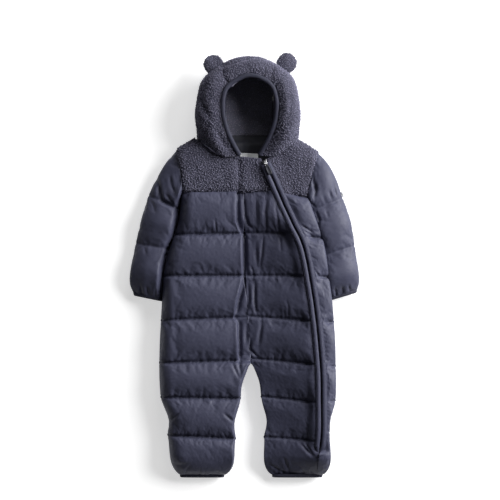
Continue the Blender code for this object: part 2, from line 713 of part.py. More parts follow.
def yoke_back(grids):
    """The back yoke, flat on the ground from armhole to armhole."""
    edges = {}
    for side in ("right", "left"):
        column = [row[0] for row in grids["side_" + side]]
        half = -1 if side == "right" else 1
        corner = Vector((column[SIDE_ROW].x - half * 0.001, column[SIDE_ROW].y - NAPE_CLEARANCE))
        under = [point for point in column[SIDE_ROW:] if point.z < 0.012]
        edges[side] = [corner] + [Vector((point.x, point.y - NAPE_CLEARANCE)) for point in under]
    nape = Vector((HOOD_MIDDLE_X, CROWN["nape"][0] - NAPE_CLEARANCE))
    upper = [SHOULDER_RIGHT, SHOULDER_RIGHT.lerp(edges["right"][0], 0.5)] + edges["right"] + [nape]
    upper += list(reversed(edges["left"])) + [SHOULDER_LEFT.lerp(edges["left"][0], 0.5), SHOULDER_LEFT]
    right = Vector((RIGHT_SIDE[0][1], RIGHT_SIDE[0][2] + 2 * GAP))
    centre = Vector((RIGHT_INNER[0][1], RIGHT_INNER[0][2] + 2 * GAP))
    left = Vector((LEFT_SIDE[0][1], LEFT_SIDE[0][2] + 2 * GAP))
    lower = [along_line([right, centre, left], right.x + (left.x - right.x) * index / (len(upper) - 1))
             for index in range(len(upper))]
    top = []
    bottom = []
    last = len(upper) - 1
    for share in (0.0, 0.12, 0.35, 1.0):
        row = [above.lerp(below, share) for above, below in zip(upper, lower)]
        top.append([(point.x, point.y, BACK_YOKE_HEIGHT) for point in row])
        lifted = []
        for index, point in enumerate(row):
            at_shoulder = share == 0.0 and (index < 3 or index > last - 3)
            lifted.append((point.x, point.y, BACK_YOKE_HEIGHT / 2 if at_shoulder else 0.0))
        bottom.append(lifted)
    wall_between("yoke_back", top, bottom, FLEECE)


# ---- Sleeves and their bindings --------------------------------------------------------------
def body_side_x(edge, y, side):
    """The side edge of the body at a height y, read from its table."""
    outward = -1 if side == "right" else 1
    places = [edge_point(edge, channel, share, outward) for channel, share in stations()]
    for above, below in zip(places, places[1:]):
        if below.y <= y <= above.y:
            return above.x + (below.x - above.x) * (above.y - y) / (above.y - below.y)
    return places[0].x


def flat_ring(outer, inner, height, inset=0.0, slit=0.0):
    """A section of a flat tube between two plan points; with a slit it is the space inside."""
    across = (inner - outer).normalized()
    start = outer + across * inset
    width = (inner - outer).length - 2 * inset
    middle = start + across * width / 2
    ring = []
    for index in range(RING_POINTS):
        angle = 2 * math.pi * index / RING_POINTS
        along = math.copysign(abs(math.cos(angle)) ** 0.75, math.cos(angle)) * width / 2
        rise = math.copysign(abs(math.sin(angle)) ** 0.65, math.sin(angle))
        if slit:
            z = height / 2 + rise * slit / 2
        else:
            z = max(0.0, height / 2 + rise * height * 0.53)
        ring.append(Vector((middle.x + across.x * along, middle.y + across.y * along, z)))
    return ring


def sleeve(side, table, edge):
    """One sleeve as a flat tube, with its bound cuff."""
    outward = -1 if side == "right" else 1
    sections = []
    for row in table:
        inner_x = body_side_x(edge, row[3], side) + outward * SLEEVE_CLEARANCE
        sections.append((Vector((row[1], row[2])), Vector((inner_x, row[3])), row[4]))
    outers = spline([section[0] for section in sections], 2)
    inners = spline([section[1] for section in sections], 2)
    for index, point in enumerate(inners):
        limit = body_side_x(edge, point.y, side) + outward * SLEEVE_CLEARANCE
        inners[index] = Vector((outward * max(outward * limit, outward * point.x), point.y))
    heights = [point.x for point in spline([Vector((section[2], 0)) for section in sections], 2)]
    rings = [flat_ring(*section) for section in zip(outers, inners, heights)]
    slits = [flat_ring(*section, inset=SLEEVE_SIDE_WALL, slit=SLEEVE_SLIT)
             for section in zip(outers, inners, heights)]
    loft("sleeve_" + side, rings + list(reversed(slits)), SHELL, joined=True)
    run = Vector((outers[-1] + inners[-1] - outers[-2] - inners[-2])).normalized()
    binding_ring("cuff_binding_" + side, outers[-1], inners[-1], run, heights[-1])


def binding_ring(name, outer, inner, run, height):
    """A short bound ring at the end of a flat tube, open through the middle."""
    start = run * GAP
    end = run * (GAP + CUFF_BINDING_LENGTH)
    rings = []
    for offset, draw_in in ((start, CUFF_DRAW_IN / 4), (end, CUFF_DRAW_IN)):
        across = (inner - outer).normalized()
        ends = (outer + across * draw_in + offset, inner - across * draw_in + offset)
        rings.append(flat_ring(*ends, height - draw_in))
    for offset in (end, start):
        rings.append(flat_ring(outer + offset, inner + offset, height, inset=CUFF_WALL, slit=SLEEVE_SLIT))
    loft(name, rings, BINDING, joined=True)


# ---- Zip -------------------------------------------------------------------------------------
def zip_stations(top_y, bottom_y):
    """Points along the zip's line with the direction across it, towards the left side."""
    count = 28
    found = []
    for index in range(count + 1):
        y = top_y + (bottom_y - top_y) * index / count
        point = Vector((zip_x(y), y))
        run = Vector((zip_x(y - 0.004) - zip_x(y + 0.004), -0.008)).normalized()
        found.append((point, Vector((-run.y, run.x))))
    return found


def zip_strip(name, start, end, low, high, strip_material, crowned=False, top_y=ZIP_TOP_Y):
    """A strip along the zip between two distances from its line and two heights above its ground."""
    rings = []
    for point, across in zip_stations(top_y, ZIP_BOTTOM_Y):
        if across.x < 0:
            across = -across
        ground = lying_height(point)
        near = point + across * start
        far = point + across * end
        section = [(near, low), (far, low), (far, high)]
        if crowned:
            section = [(near, low), (far, low), (far, high * 0.55 + low * 0.45),
                       (near.lerp(far, 0.75), high), (near.lerp(far, 0.25), high),
                       (near, high * 0.55 + low * 0.45)]
        else:
            section.append((near, high))
        rings.append([Vector((place.x, place.y, ground + rise)) for place, rise in section])
    loft(name, rings, strip_material)


def zip_pieces():
    tape_low = -0.0030
    tape_high = tape_low + TAPE_THICKNESS
    coil_low = tape_high + GAP
    zip_strip("zip_tape_right", -0.0031, -0.0002, tape_low, tape_high, ZIP_TAPE)
    zip_strip("zip_tape_left", 0.0002, 0.0031, tape_low, tape_high, ZIP_TAPE)
    half_coil = COIL_WIDTH / 2
    zip_strip("zip_coil", -half_coil, half_coil, coil_low, coil_low + COIL_HEIGHT, ZIP_TAPE, top_y=0.1830)
    for side, direction in (("right", -1), ("left", 1)):
        near = direction * 0.0009
        far = direction * (0.0009 + WELT_WIDTH)
        zip_strip("welt_" + side, near, far, 2 * GAP, WELT_HEIGHT, SHELL, crowned=True, top_y=0.1880)


PIVOT = Vector((-0.0003, 0.0, 0.0054))  # the pull's axis in the slider's frame


def slider_place():
    """Where the slider's frame stands: local X runs down the zip, local Y across it."""
    run = Vector((zip_x(0.188) - zip_x(0.198), -0.010))
    middle = Vector((zip_x(0.1935), 0.1935))
    return Vector((middle.x, middle.y, lying_height(middle))), math.atan2(run.y, run.x)


def framed_box(name, low, high, box_material, origin=Vector(), bevel=0.0):
    """A box between two corners in the slider's frame, with the object's origin at a given place."""
    middle, turn = slider_place()
    low = Vector(low)
    high = Vector(high)
    bm = bmesh.new()
    bmesh.ops.create_cube(bm, size=1.0)
    bmesh.ops.scale(bm, vec=high - low, verts=bm.verts[:])
    bmesh.ops.translate(bm, vec=(low + high) / 2 - origin, verts=bm.verts[:])
    if bevel:
        bmesh.ops.bevel(bm, geom=bm.edges[:], offset=bevel, segments=2, profile=0.5, affect="EDGES")
    made = finish(name, bm, box_material, 40.0)
    made.rotation_euler = (0, 0, turn)
    turned = Vector((origin.x * math.cos(turn) - origin.y * math.sin(turn),
                     origin.x * math.sin(turn) + origin.y * math.cos(turn), origin.z))
    made.location = middle + turned
    return made


def join_or_cut(target, name, low, high, operation):
    """Join a box to a piece of the slider, or cut it out."""
    tool = framed_box(name, low, high, METAL)
    tool.hide_render = True
    tool.display_type = "WIRE"
    change = target.modifiers.new(name, "BOOLEAN")
    change.operation = operation
    change.solver = "EXACT"
    change.object = tool


def slider_pieces():
    """The slider with its bridge, the metal link that turns under the bridge, and the pull tab."""
    slider = framed_box("zip_slider", (-0.0050, -0.0038, 0.0006), (0.0048, 0.0038, 0.0044), METAL, bevel=0.0007)
    for index, start in enumerate((-0.0038, 0.0014)):
        join_or_cut(slider, f"bridge_post_{index}", (start, -0.0008, 0.0040),
                    (start + 0.0018, 0.0008, 0.0072), "UNION")
    join_or_cut(slider, "bridge_rod", (-0.0038, -0.0007, 0.0064), (0.0032, 0.0007, 0.0078), "UNION")
    link = framed_box("pull_link", (-0.00075, -0.0026, 0.00495), (0.0056, 0.0026, 0.00585), METAL, PIVOT)
    join_or_cut(link, "link_window", (0.00015, -0.00125, 0.0040), (0.0046, 0.00125, 0.0070), "DIFFERENCE")
    framed_box("pull_tab", (0.0059, -0.0044, 0.0043), (0.0245, 0.0044, 0.0065), PULL, PIVOT, bevel=0.0009)


# ---- Neck facing, label and sleeve tab -------------------------------------------------------
def neck_pieces():
    """The plain facing inside the back neck and the bare label on it, thin sheets in steps of y."""
    lift = 2 * GAP
    lining_top = HOOD_WALL + 2 * GAP + LINING_WALL
    profile = [
        # y, height of the underside
        (0.2460, lining_top + lift), (0.2380, lining_top + 0.0040), (0.2300, BACK_YOKE_HEIGHT + lift),
        (0.1980, BACK_YOKE_HEIGHT + lift),
    ]
    for name, left, right, thickness, places, sheet_material in (
            ("neck_facing", -0.0310, 0.0500, 0.0010, profile, FACING),
            ("neck_label", -0.0080, 0.0270, 0.0004,
             [(0.2125, BACK_YOKE_HEIGHT + 0.0010 + 2 * lift), (0.1985, BACK_YOKE_HEIGHT + 0.0010 + 2 * lift)],
             LABEL)):
        columns = [left + (right - left) * index / 6 for index in range(7)]
        bottom = [[(x, y, z) for x in columns] for y, z in places]
        top = [[(x, y, z + thickness) for x in columns] for y, z in places]
        wall_between(name, top, bottom, sheet_material)


def sleeve_tab():
    """A short folded tab that stands out of the left sleeve's outer edge."""
    bm = bmesh.new()
    bmesh.ops.create_cube(bm, size=1.0)
    bmesh.ops.scale(bm, vec=(0.0050, 0.0100, 0.0016), verts=bm.verts[:])
    bmesh.ops.bevel(bm, geom=bm.edges[:], offset=0.0004, segments=1, profile=0.5, affect="EDGES")
    tab = finish("sleeve_tab", bm, LABEL)
    tab.location = (0.1886, 0.1345, 0.0200)
    tab.rotation_euler = (0, 0, math.radians(22))


# ---- The garment -----------------------------------------------------------------------------
def build():
    for old in list(bpy.data.objects):
        bpy.data.objects.remove(old)
    quilted_front("front_right", right_side, right_inner, "side", "inner", 3)
    quilted_front("front_centre", left_inner, zip_edge_centre, "inner", "zip", 3)
    quilted_front("front_left", zip_edge_left, left_side, "zip", "side", 1)
    quilted_back("back_right", right_side, right_inner, "side", "inner")
    quilted_back("back_left", left_inner, left_side, "inner", "side")
    grids = hood_pieces()
    hood_binding(grids)
    for row in EARS:
        ear(*row)
    yokes(grids)
    yoke_back(grids)
    sleeve("right", SLEEVE_RIGHT, RIGHT_SIDE)
    sleeve("left", SLEEVE_LEFT, LEFT_SIDE)
    for side, outer_edge, inner_edge in (("right", RIGHT_SIDE, RIGHT_INNER), ("left", LEFT_SIDE, LEFT_INNER)):
        ends = [Vector((edge[-1][1], edge[-1][2])) for edge in (outer_edge, inner_edge)]
        binding_ring("hem_binding_" + side, ends[0], ends[1], Vector((0, -1)), 2 * HEM_MIDDLE - 0.003)
    zip_pieces()
    slider_pieces()
    neck_pieces()
    sleeve_tab()


build()
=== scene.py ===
# %% [markdown]
# # A baby's padded snowsuit, laid flat on its back
#
# The suit is one padded garment: quilted nylon fronts, backs and sleeves, a curly fleece hood with
# two round ears, a fleece yoke, and one long zip that curves from the neck to the left ankle. It
# lies flat, so its panels rest on each other and its back rests on the table. Left and right are
# always the wearer's. Every size is in metres, +Z is up and +Y points towards the hood.
#
# The construction model gives each panel's place. This lesson makes the looks around it: padded
# panels come out of a cloth simulation, fleece is a thin shell with a pile of real curls on it, and
# the zip, bindings, stitches and label are modelled piece by piece.

import json
import math
import random

import bmesh
import bpy
import numpy as np
from mathutils import Matrix, Vector, noise

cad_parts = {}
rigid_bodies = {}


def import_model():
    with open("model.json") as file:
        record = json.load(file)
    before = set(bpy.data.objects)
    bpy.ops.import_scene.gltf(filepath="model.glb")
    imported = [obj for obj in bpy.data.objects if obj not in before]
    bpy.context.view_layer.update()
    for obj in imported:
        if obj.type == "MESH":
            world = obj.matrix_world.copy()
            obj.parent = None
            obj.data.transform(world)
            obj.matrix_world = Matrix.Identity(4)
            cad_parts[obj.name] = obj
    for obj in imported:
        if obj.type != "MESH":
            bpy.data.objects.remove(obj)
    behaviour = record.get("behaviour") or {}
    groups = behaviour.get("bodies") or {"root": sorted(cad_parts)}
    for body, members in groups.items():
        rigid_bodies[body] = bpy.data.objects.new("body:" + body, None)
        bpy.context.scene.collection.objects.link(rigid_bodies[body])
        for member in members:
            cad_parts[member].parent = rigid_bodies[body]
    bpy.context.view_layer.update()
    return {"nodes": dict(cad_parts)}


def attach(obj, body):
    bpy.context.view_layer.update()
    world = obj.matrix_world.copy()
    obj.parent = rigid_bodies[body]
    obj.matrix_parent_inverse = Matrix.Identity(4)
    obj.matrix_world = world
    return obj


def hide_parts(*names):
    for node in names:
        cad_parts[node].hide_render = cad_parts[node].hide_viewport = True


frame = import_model()
print("construction solids:", len(frame["nodes"]))

# %% [markdown]
# ## The sizes that the panels share
#
# The construction model and these looks are two scripts, so the sizes that both need are repeated
# here: the edges of the panels, the line of the zip and the sections of the hood. Short tables with
# named columns are easier to check than numbers spread through the code.

# %% Heights and widths of the body
MIDDLE = 0.024  # height at which the fronts lie on the backs
HEM_MIDDLE = 0.0125  # the same height at the leg hems, which the binding draws flat
SEAM_THICKNESS = 0.0178  # a front at a quilting seam
PUFF_THICKNESS = 0.0320  # and in the middle of a channel
HEM_THICKNESS = 0.0090
EDGE_THICKNESS = 0.0025
SIDE_ROUNDING = 0.028  # how far in from a side its edge is round, on a front
BACK_ROUNDING = 0.018  # and on a back
SEAM_ROUNDING = 0.012  # the same beside a yoke's seams
CENTRE_SEAM_SHARE = 0.62  # share of a yoke's thickness that is left at the armhole
YOKE_SEAM_SHARE = 0.72  # and at the seam below it
CROTCH_Y = -0.192
CROTCH_BLEND = 0.020  # length over which the two halves part
HEM_FALL_START = -0.362
HEM_Y = -0.4018
ZIP_GAP = 0.0040  # from the zip's line to the edge of a front
ZIP_FLAT = 0.0115  # a front is flat this near the line
ZIP_RISE = 0.0150  # and full this much farther out
ZIP_THICKNESS = 0.0240  # a front under a welt, at the neck and at the ankle
ZIP_CREST = 0.0105  # how much thicker it is along the crest of the body, between
ZIP_CREST_ENDS = (0.150, 0.050, -0.300, -0.390)  # y where the crest starts, is full, and ends again
ZIP_OPEN_Y = -0.3530  # the two fronts close up from here, below the end of the zip
ZIP_CLOSED_Y = -0.3585
ZIP_CLOSED_GAP = 0.0001

# %% The zip's line and the body's edges
ZIP_LINE = [
    # x, y
    (0.0338, 0.2060), (0.0535, 0.1640), (0.0700, 0.1260), (0.0914, 0.0785),
    (0.1108, 0.0374), (0.1237, -0.0209), (0.1364, -0.1051), (0.1448, -0.1963),
    (0.1462, -0.2600), (0.1462, -0.3200), (0.1420, -0.3587), (0.1385, -0.4030),
]
RIGHT_SIDE = [
    # x, y, how far the edge stands out half way down to the next seam
    (-0.1191, 0.1374, -0.0020), (-0.1315, 0.0568, 0.0040), (-0.1535, -0.0213, 0.0008),
    (-0.1583, -0.1058, 0.0012), (-0.1615, -0.1868, 0.0015), (-0.1590, -0.2525, -0.0070),
    (-0.1459, -0.3245, 0.0096), (-0.1226, HEM_Y, 0.0),
]
RIGHT_INNER = [
    (-0.0005, 0.1400, 0.0), (0.0015, 0.0590, 0.0), (0.0025, -0.0213, 0.0), (0.0060, -0.1000, 0.0),
    (0.0120, -0.1825, -0.0040), (-0.0072, -0.2550, -0.0055), (-0.0167, -0.3315, 0.0110),
    (-0.0385, HEM_Y, 0.0),
]
LEFT_INNER = [
    (-0.0005, 0.1400, 0.0), (0.0015, 0.0600, 0.0), (0.0025, -0.0213, 0.0), (0.0060, -0.0986, 0.0),
    (0.0120, -0.1790, -0.0040), (0.0325, -0.2518, -0.0070), (0.0378, -0.3289, 0.0102),
    (0.0535, HEM_Y, 0.0),
]
LEFT_SIDE = [
    (0.1224, 0.1264, 0.0), (0.1485, 0.0505, 0.0020), (0.1602, -0.0234, 0.0015),
    (0.1702, -0.1090, 0.0012), (0.1735, -0.1936, 0.0010), (0.1735, -0.2590, -0.0030),
    (0.1622, -0.3175, 0.0108), (0.1492, HEM_Y, 0.0),
]
ZIP_SEAMS = [
    # y on the centre front, y on the left front
    (0.1400, 0.1370), (0.0600, 0.0526), (-0.0213, -0.0234), (-0.1070, -0.1108),
    (-0.1894, -0.1936), (-0.2622, -0.2597), (-0.3350, -0.3179), (HEM_Y, HEM_Y),
]
CHANNELS = len(RIGHT_SIDE) - 1  # quilted channels, one between each two rows
LAST_SEAM = CHANNELS - 1e-6  # the hem, counted in channels from the top and just inside the last
print("channels down the body:", CHANNELS)


# %% Curves, steps and edges
def spline_point(points, position):
    """A point on the Catmull-Rom curve through the points; position counts them from 0."""
    last = len(points) - 1
    index = min(max(int(position), 0), last - 1)
    t = position - index
    before = points[max(index - 1, 0)]
    start = points[index]
    end = points[index + 1]
    after = points[min(index + 2, last)]
    return 0.5 * (2 * start + (end - before) * t + (2 * before - 5 * start + 4 * end - after) * t**2
                  + (3 * start - before - 3 * end + after) * t**3)


def spline(points, steps):
    count = (len(points) - 1) * steps
    return [spline_point(points, index / steps) for index in range(count + 1)]


def smooth_step(value):
    value = min(max(value, 0.0), 1.0)
    return value * value * (3 - 2 * value)


def rounding(distance, reach, floor=0.0):
    """The rise from an edge, as a quarter circle from floor to 1 over the reach."""
    share = min(max(distance / reach, 0.0), 1.0)
    return floor + (1 - floor) * math.sqrt(1 - (1 - share) ** 2)


def near_hem(y):
    return smooth_step((HEM_FALL_START - y) / (HEM_FALL_START - HEM_Y))


def middle_height(y):
    return MIDDLE + (HEM_MIDDLE - MIDDLE) * near_hem(y)


def zip_thickness(y):
    upper, full, lower, end = ZIP_CREST_ENDS
    crest = ZIP_CREST * smooth_step((upper - y) / (upper - full))
    return ZIP_THICKNESS + crest * smooth_step((y - end) / (lower - end))


def above_crotch(y):
    """1 where the two halves are sewn together, 0 where their inner edges are the legs' own."""
    return smooth_step((y - CROTCH_Y) / CROTCH_BLEND)


ZIP_CURVE = spline([Vector(point) for point in ZIP_LINE], 6)


def zip_x(y):
    """Where the zip's line is at a height y of the garment."""
    for above, below in zip(ZIP_CURVE, ZIP_CURVE[1:]):
        if below.y <= y:
            return above.x + (below.x - above.x) * (above.y - y) / (above.y - below.y)
    return ZIP_CURVE[-1].x


def edge_point(edge, down, outward):
    """A point of an edge table; down counts its seams from 0."""
    channel = min(int(down), CHANNELS - 1)
    share = down - channel
    upper = edge[channel]
    lower = edge[channel + 1]
    if upper[2] < 0:
        shape = math.sin(math.pi * share ** 1.3) ** 1.5
    elif channel == CHANNELS - 1:
        shape = max(math.sin(math.pi * share ** 2), 0.0) ** 0.6
    else:
        shape = max(math.sin(math.pi * share), 0.0) ** 0.6
    bulge = upper[2] * shape
    return Vector((upper[0] + (lower[0] - upper[0]) * share + outward * bulge,
                   upper[1] + (lower[1] - upper[1]) * share))


def zip_open(y):
    """1 beside the zip, 0 below its end, where the two fronts are sewn together."""
    return smooth_step((y - ZIP_CLOSED_Y) / (ZIP_OPEN_Y - ZIP_CLOSED_Y))


def zip_edge(down, column, side):
    """A point on the edge of a front beside the zip; side is -1 for the centre front."""
    channel = min(int(down), CHANNELS - 1)
    upper = ZIP_SEAMS[channel][column]
    lower = ZIP_SEAMS[channel + 1][column]
    y = upper + (lower - upper) * (down - channel)
    gap = ZIP_CLOSED_GAP + (ZIP_GAP - ZIP_CLOSED_GAP) * zip_open(y)
    return Vector((zip_x(y) + side * gap, y))


THIGH_SEAM_Y = -0.1790
CROTCH_APEX = (0.0120, -0.1906)
APEX_BLEND = 0.004


def sewn_crotch(point):
    """The inner edges stay together from the thigh seam down to the apex of the crotch."""
    below_seam = point.y < THIGH_SEAM_Y
    together = smooth_step((point.y - CROTCH_APEX[1]) / APEX_BLEND + 0.5) if below_seam else 0.0
    return Vector((point.x + (CROTCH_APEX[0] - point.x) * together, point.y))


EDGES = {
    "right side": lambda down: edge_point(RIGHT_SIDE, down, -1),
    "right inner": lambda down: sewn_crotch(edge_point(RIGHT_INNER, down, 1)),
    "left inner": lambda down: sewn_crotch(edge_point(LEFT_INNER, down, -1)),
    "left side": lambda down: edge_point(LEFT_SIDE, down, 1),
    "zip centre": lambda down: zip_edge(down, 0, -1),
    "zip left": lambda down: zip_edge(down, 1, 1),
}
print("zip, mm:", round(1000 * sum((b - a).length for a, b in zip(ZIP_CURVE, ZIP_CURVE[1:]))))

# %% [markdown]
# ## Finishes
#
# A material in Blender is a tree of nodes. Two small helpers keep the trees readable. `Value` wraps
# a socket, so that `drift * 0.3` adds a Math node by itself, and `Finish` holds one material:
# constants go straight on its shader, and only what changes over the surface is fed by nodes.


# %% Values that write their own Math nodes
class Value:
    def __init__(self, finish, socket):
        self.finish = finish
        self.socket = socket

    def maths(self, operation, *others, clamp=False):
        inputs = dict(enumerate((self, *others)))
        return self.finish.node("ShaderNodeMath", {"operation": operation, "use_clamp": clamp}, inputs)

    def __add__(self, other):
        return self.maths("ADD", other)

    def __sub__(self, other):
        return self.maths("SUBTRACT", other)

    def __mul__(self, other):
        return self.maths("MULTIPLY", other)


class Finish:
    def __init__(self, name, **constants):
        self.material = bpy.data.materials.new(name)
        self.material.use_nodes = True
        self.tree = self.material.node_tree
        self.shader = self.tree.nodes["Principled BSDF"]
        for socket, value in constants.items():
            self.shader.inputs[socket.replace("_", " ")].default_value = value

    def node(self, kind, settings=None, inputs=None, output=0):
        made = self.tree.nodes.new(kind)
        for setting, value in (settings or {}).items():
            setattr(made, setting, value)
        for socket, value in (inputs or {}).items():
            if isinstance(value, Value):
                self.tree.links.new(value.socket, made.inputs[socket])
            else:
                made.inputs[socket].default_value = value
        return Value(self, made.outputs[output])

    def feed(self, **values):
        for socket, value in values.items():
            self.tree.links.new(value.socket, self.shader.inputs[socket.replace("_", " ")])

    def place(self):
        """Object coordinates: metres on the piece itself."""
        return self.node("ShaderNodeTexCoord", output=3)

    def noise(self, scale, detail=2.0, roughness=0.5, stretch=(1.0, 1.0, 1.0)):
        stretched = self.node("ShaderNodeMapping", inputs={"Vector": self.place(), "Scale": stretch})
        return self.node("ShaderNodeTexNoise", inputs={
            "Vector": stretched, "Scale": scale, "Detail": detail, "Roughness": roughness})

    def blend(self, share, first, second):
        """A colour between two others, by a share from 0 to 1."""
        inputs = {0: share, 6: (*first, 1.0), 7: (*second, 1.0)}
        return self.node("ShaderNodeMix", {"data_type": "RGBA"}, inputs, output=2)

    def bump(self, height, distance, strength=1.0):
        made = self.node("ShaderNodeBump", inputs={
            "Height": height, "Distance": distance, "Strength": strength})
        self.feed(Normal=made)


# %% [markdown]
# ### Shell nylon
#
# The shell is a tightly woven navy nylon with a satin face. Its gloss is broad and soft, so the
# roughness sits in the middle and a little noise breaks it up. The threads are far too fine to see
# from a step away, so they are a shallow bump: two sets of ridges at right angles, half a
# millimetre apart, with a soft crinkle over them that real geometry would be too coarse for.

# %% Shell, binding and tape
def woven(name, dark, light, roughness, pitch, depth, crinkle=0.0, **constants):
    """A plain-woven cloth: threads of a pitch and a depth in metres, and a colour that drifts a little."""
    cloth = Finish(name, **constants)
    drift = cloth.noise(22.0, 3.0)
    cloth.feed(Base_Color=cloth.blend(drift, dark, light),
               Roughness=cloth.noise(60.0, 2.0) * 0.16 + (roughness - 0.08))
    turn = 2 * math.pi / pitch
    axes = cloth.node("ShaderNodeSeparateXYZ", inputs={0: cloth.place()}).socket.node
    x, y, z = (Value(cloth, axes.outputs[axis]) for axis in "XYZ")
    threads = ((x + z) * turn).maths("SINE") + (y * turn).maths("SINE")
    height = threads * 0.25
    if crinkle:
        height = height + cloth.noise(230.0, 3.0, 0.6) * (crinkle / depth)
    cloth.bump(height, depth)
    return cloth.material


SHELL = woven("shell_nylon", (0.043, 0.045, 0.076), (0.051, 0.053, 0.089), 0.56, pitch=0.0005,
              depth=0.00003, crinkle=0.00006, Specular_IOR_Level=0.28)
BINDING = woven("binding_cloth", (0.020, 0.021, 0.037), (0.028, 0.029, 0.051), 0.66, pitch=0.0008,
                depth=0.00008, crinkle=0.00020, Specular_IOR_Level=0.30)
FACING = woven("facing_cloth", (0.009, 0.0095, 0.017), (0.013, 0.014, 0.024), 0.70, pitch=0.0006,
               depth=0.00005, crinkle=0.00020)
TAPE = woven("zip_tape_cloth", (0.014, 0.015, 0.024), (0.022, 0.023, 0.035), 0.70, pitch=0.0009,
             depth=0.00010)
LABEL = woven("label_satin", (0.66, 0.67, 0.69), (0.74, 0.75, 0.77), 0.50, pitch=0.0004, depth=0.00003)
THREAD = woven("sewing_thread", (0.020, 0.021, 0.034), (0.034, 0.036, 0.056), 0.50, pitch=0.0004,
               depth=0.00005)
print("woven finishes:", [finish.name for finish in (SHELL, BINDING, FACING, TAPE, LABEL, THREAD)])

# %% [markdown]
# ## Quilted panels
#
# A puffer panel is two layers of nylon with wadding between them, sewn together along straight
# seams. The wadding lifts the cloth between the seams, and the seam gathers it, so short crinkles
# stand across every seam and fade towards the middle of the puff.
#
# Sculpting those crinkles by hand would look regular. Here a fine grid is laid on the panel, its
# seams and edges are pinned, the cloth near the seams is made a twentieth longer than its space, and
# Blender's Cloth blows it up for some frames. The buckles then fall where cloth would put them.
# The result is applied, so no simulation is left on the piece, and its movement is capped so that
# the panel keeps its construction size.

# %% Helpers for meshes
def link(name, data):
    """An object for a mesh, a lamp or a camera, in the scene."""
    made = bpy.data.objects.new(name, data)
    bpy.context.scene.collection.objects.link(made)
    return made


def mesh_piece(name, mesh, finish, body="suit"):
    """Make a mesh a piece of the suit: smooth, with its finish, and moving with its body."""
    mesh.shade_smooth()
    mesh.materials.append(finish)
    piece = link(name, mesh)
    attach(piece, body)
    print(name, "triangles:", len(mesh.loops) - 2 * len(mesh.polygons))
    return piece


def as_mesh(name, bm):
    mesh = bpy.data.meshes.new(name)
    bm.to_mesh(mesh)
    bm.free()
    return mesh


def add_piece(name, bm, finish, body="suit", nodes=()):
    """Make a bmesh a piece of the suit, in place of the construction solids that it stands for."""
    piece = mesh_piece(name, as_mesh(name, bm), finish, body)
    if nodes:
        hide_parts(*nodes)
    return piece


def face_outwards(bm):
    bmesh.ops.recalc_face_normals(bm, faces=bm.faces[:])


def open_edges(bm):
    return [edge for edge in bm.edges if edge.is_boundary]


def grid_mesh(columns, rows, place, around=False):
    """A grid whose points a function places by their share across and down; around closes it."""
    bm = bmesh.new()
    bmesh.ops.create_grid(bm, x_segments=columns, y_segments=rows, size=0.5)
    across_layer = bm.verts.layers.float.new("across")
    down_layer = bm.verts.layers.float.new("down")
    for vertex in bm.verts:
        across, down = vertex.co.x + 0.5, 0.5 - vertex.co.y
        vertex[across_layer], vertex[down_layer] = across, down
        vertex.co = place(across, down)
    if around:
        bmesh.ops.remove_doubles(bm, verts=bm.verts[:], dist=1e-6)
    return bm


def rows_of(data, attribute):
    """A mesh's vectors as an array with one row for each."""
    flat = np.empty(3 * len(data), np.float32)
    data.foreach_get(attribute, flat)
    return flat.reshape(-1, 3).astype(np.float64)


def coordinates(mesh):
    return rows_of(mesh.vertices, "co")


def vertex_normals(mesh):
    return rows_of(mesh.vertex_normals, "vector")


def set_coordinates(mesh, points):
    mesh.vertices.foreach_set("co", points.astype(np.float32).ravel())
    mesh.update()


# %% Inflating a panel with Cloth
FRAMES = 18
PRESSURE = 3.0
SEAM_SURPLUS = -0.045  # Cloth's shrinking at the seams: below 0 the cloth is longer than its space
PUFF_SURPLUS = -0.004  # and in the middle of a puff
START_JITTER = 0.0003  # how far a free point is moved up or down first, so that cloth can buckle


def subdivided(cloth):
    """The mesh of an object with one level of Subdivision Surface applied; the object goes."""
    smoother = cloth.modifiers.new("smoother", "SUBSURF")
    smoother.levels = 1
    smoother.render_levels = 1
    smoother.boundary_smooth = "PRESERVE_CORNERS"
    evaluated = cloth.evaluated_get(bpy.context.evaluated_depsgraph_get())
    mesh = bpy.data.meshes.new_from_object(evaluated)
    bpy.data.objects.remove(cloth)
    return mesh


def inflated(bm, pinned, calm, cap):
    """Blow up a mesh with Cloth, then smooth it. pinned and calm give a share for each point.

    No point ends up more than the cap away, in metres.
    """
    mesh = as_mesh("inflating", bm)
    cloth = link("inflating", mesh)
    start = coordinates(mesh)
    held = cloth.vertex_groups.new(name="held")
    held.add([index for index, share in enumerate(pinned) if share > 0.5], 1.0, "REPLACE")
    eased = cloth.vertex_groups.new(name="eased")
    for index, share in enumerate(calm):
        eased.add([index], share, "REPLACE")
    sim = cloth.modifiers.new("inflate", "CLOTH")
    settings = sim.settings
    settings.quality = 4
    settings.mass = 0.15
    settings.tension_stiffness = 20
    settings.compression_stiffness = 20
    settings.shear_stiffness = 8
    settings.bending_stiffness = 0.06
    settings.use_pressure = True
    settings.uniform_pressure_force = PRESSURE
    settings.vertex_group_mass = "held"
    settings.vertex_group_shrink = "eased"
    settings.shrink_max = PUFF_SURPLUS
    settings.shrink_min = SEAM_SURPLUS
    settings.effector_weights.gravity = 0
    sim.collision_settings.use_collision = False
    sim.point_cache.frame_start = 1
    sim.point_cache.frame_end = max(FRAMES, 2)
    for number in range(1, FRAMES + 1):
        bpy.context.scene.frame_set(number)
    settled = cloth.evaluated_get(bpy.context.evaluated_depsgraph_get())
    moved = coordinates(settled.data) - start
    length = np.linalg.norm(moved, axis=1, keepdims=True)
    limit = np.asarray(cap).reshape(-1, 1)
    moved *= np.minimum(1.0, limit / np.maximum(length, 1e-9))
    cloth.modifiers.clear()
    cloth.vertex_groups.clear()
    set_coordinates(mesh, start + moved)
    bpy.context.scene.frame_set(1)
    return subdivided(cloth)


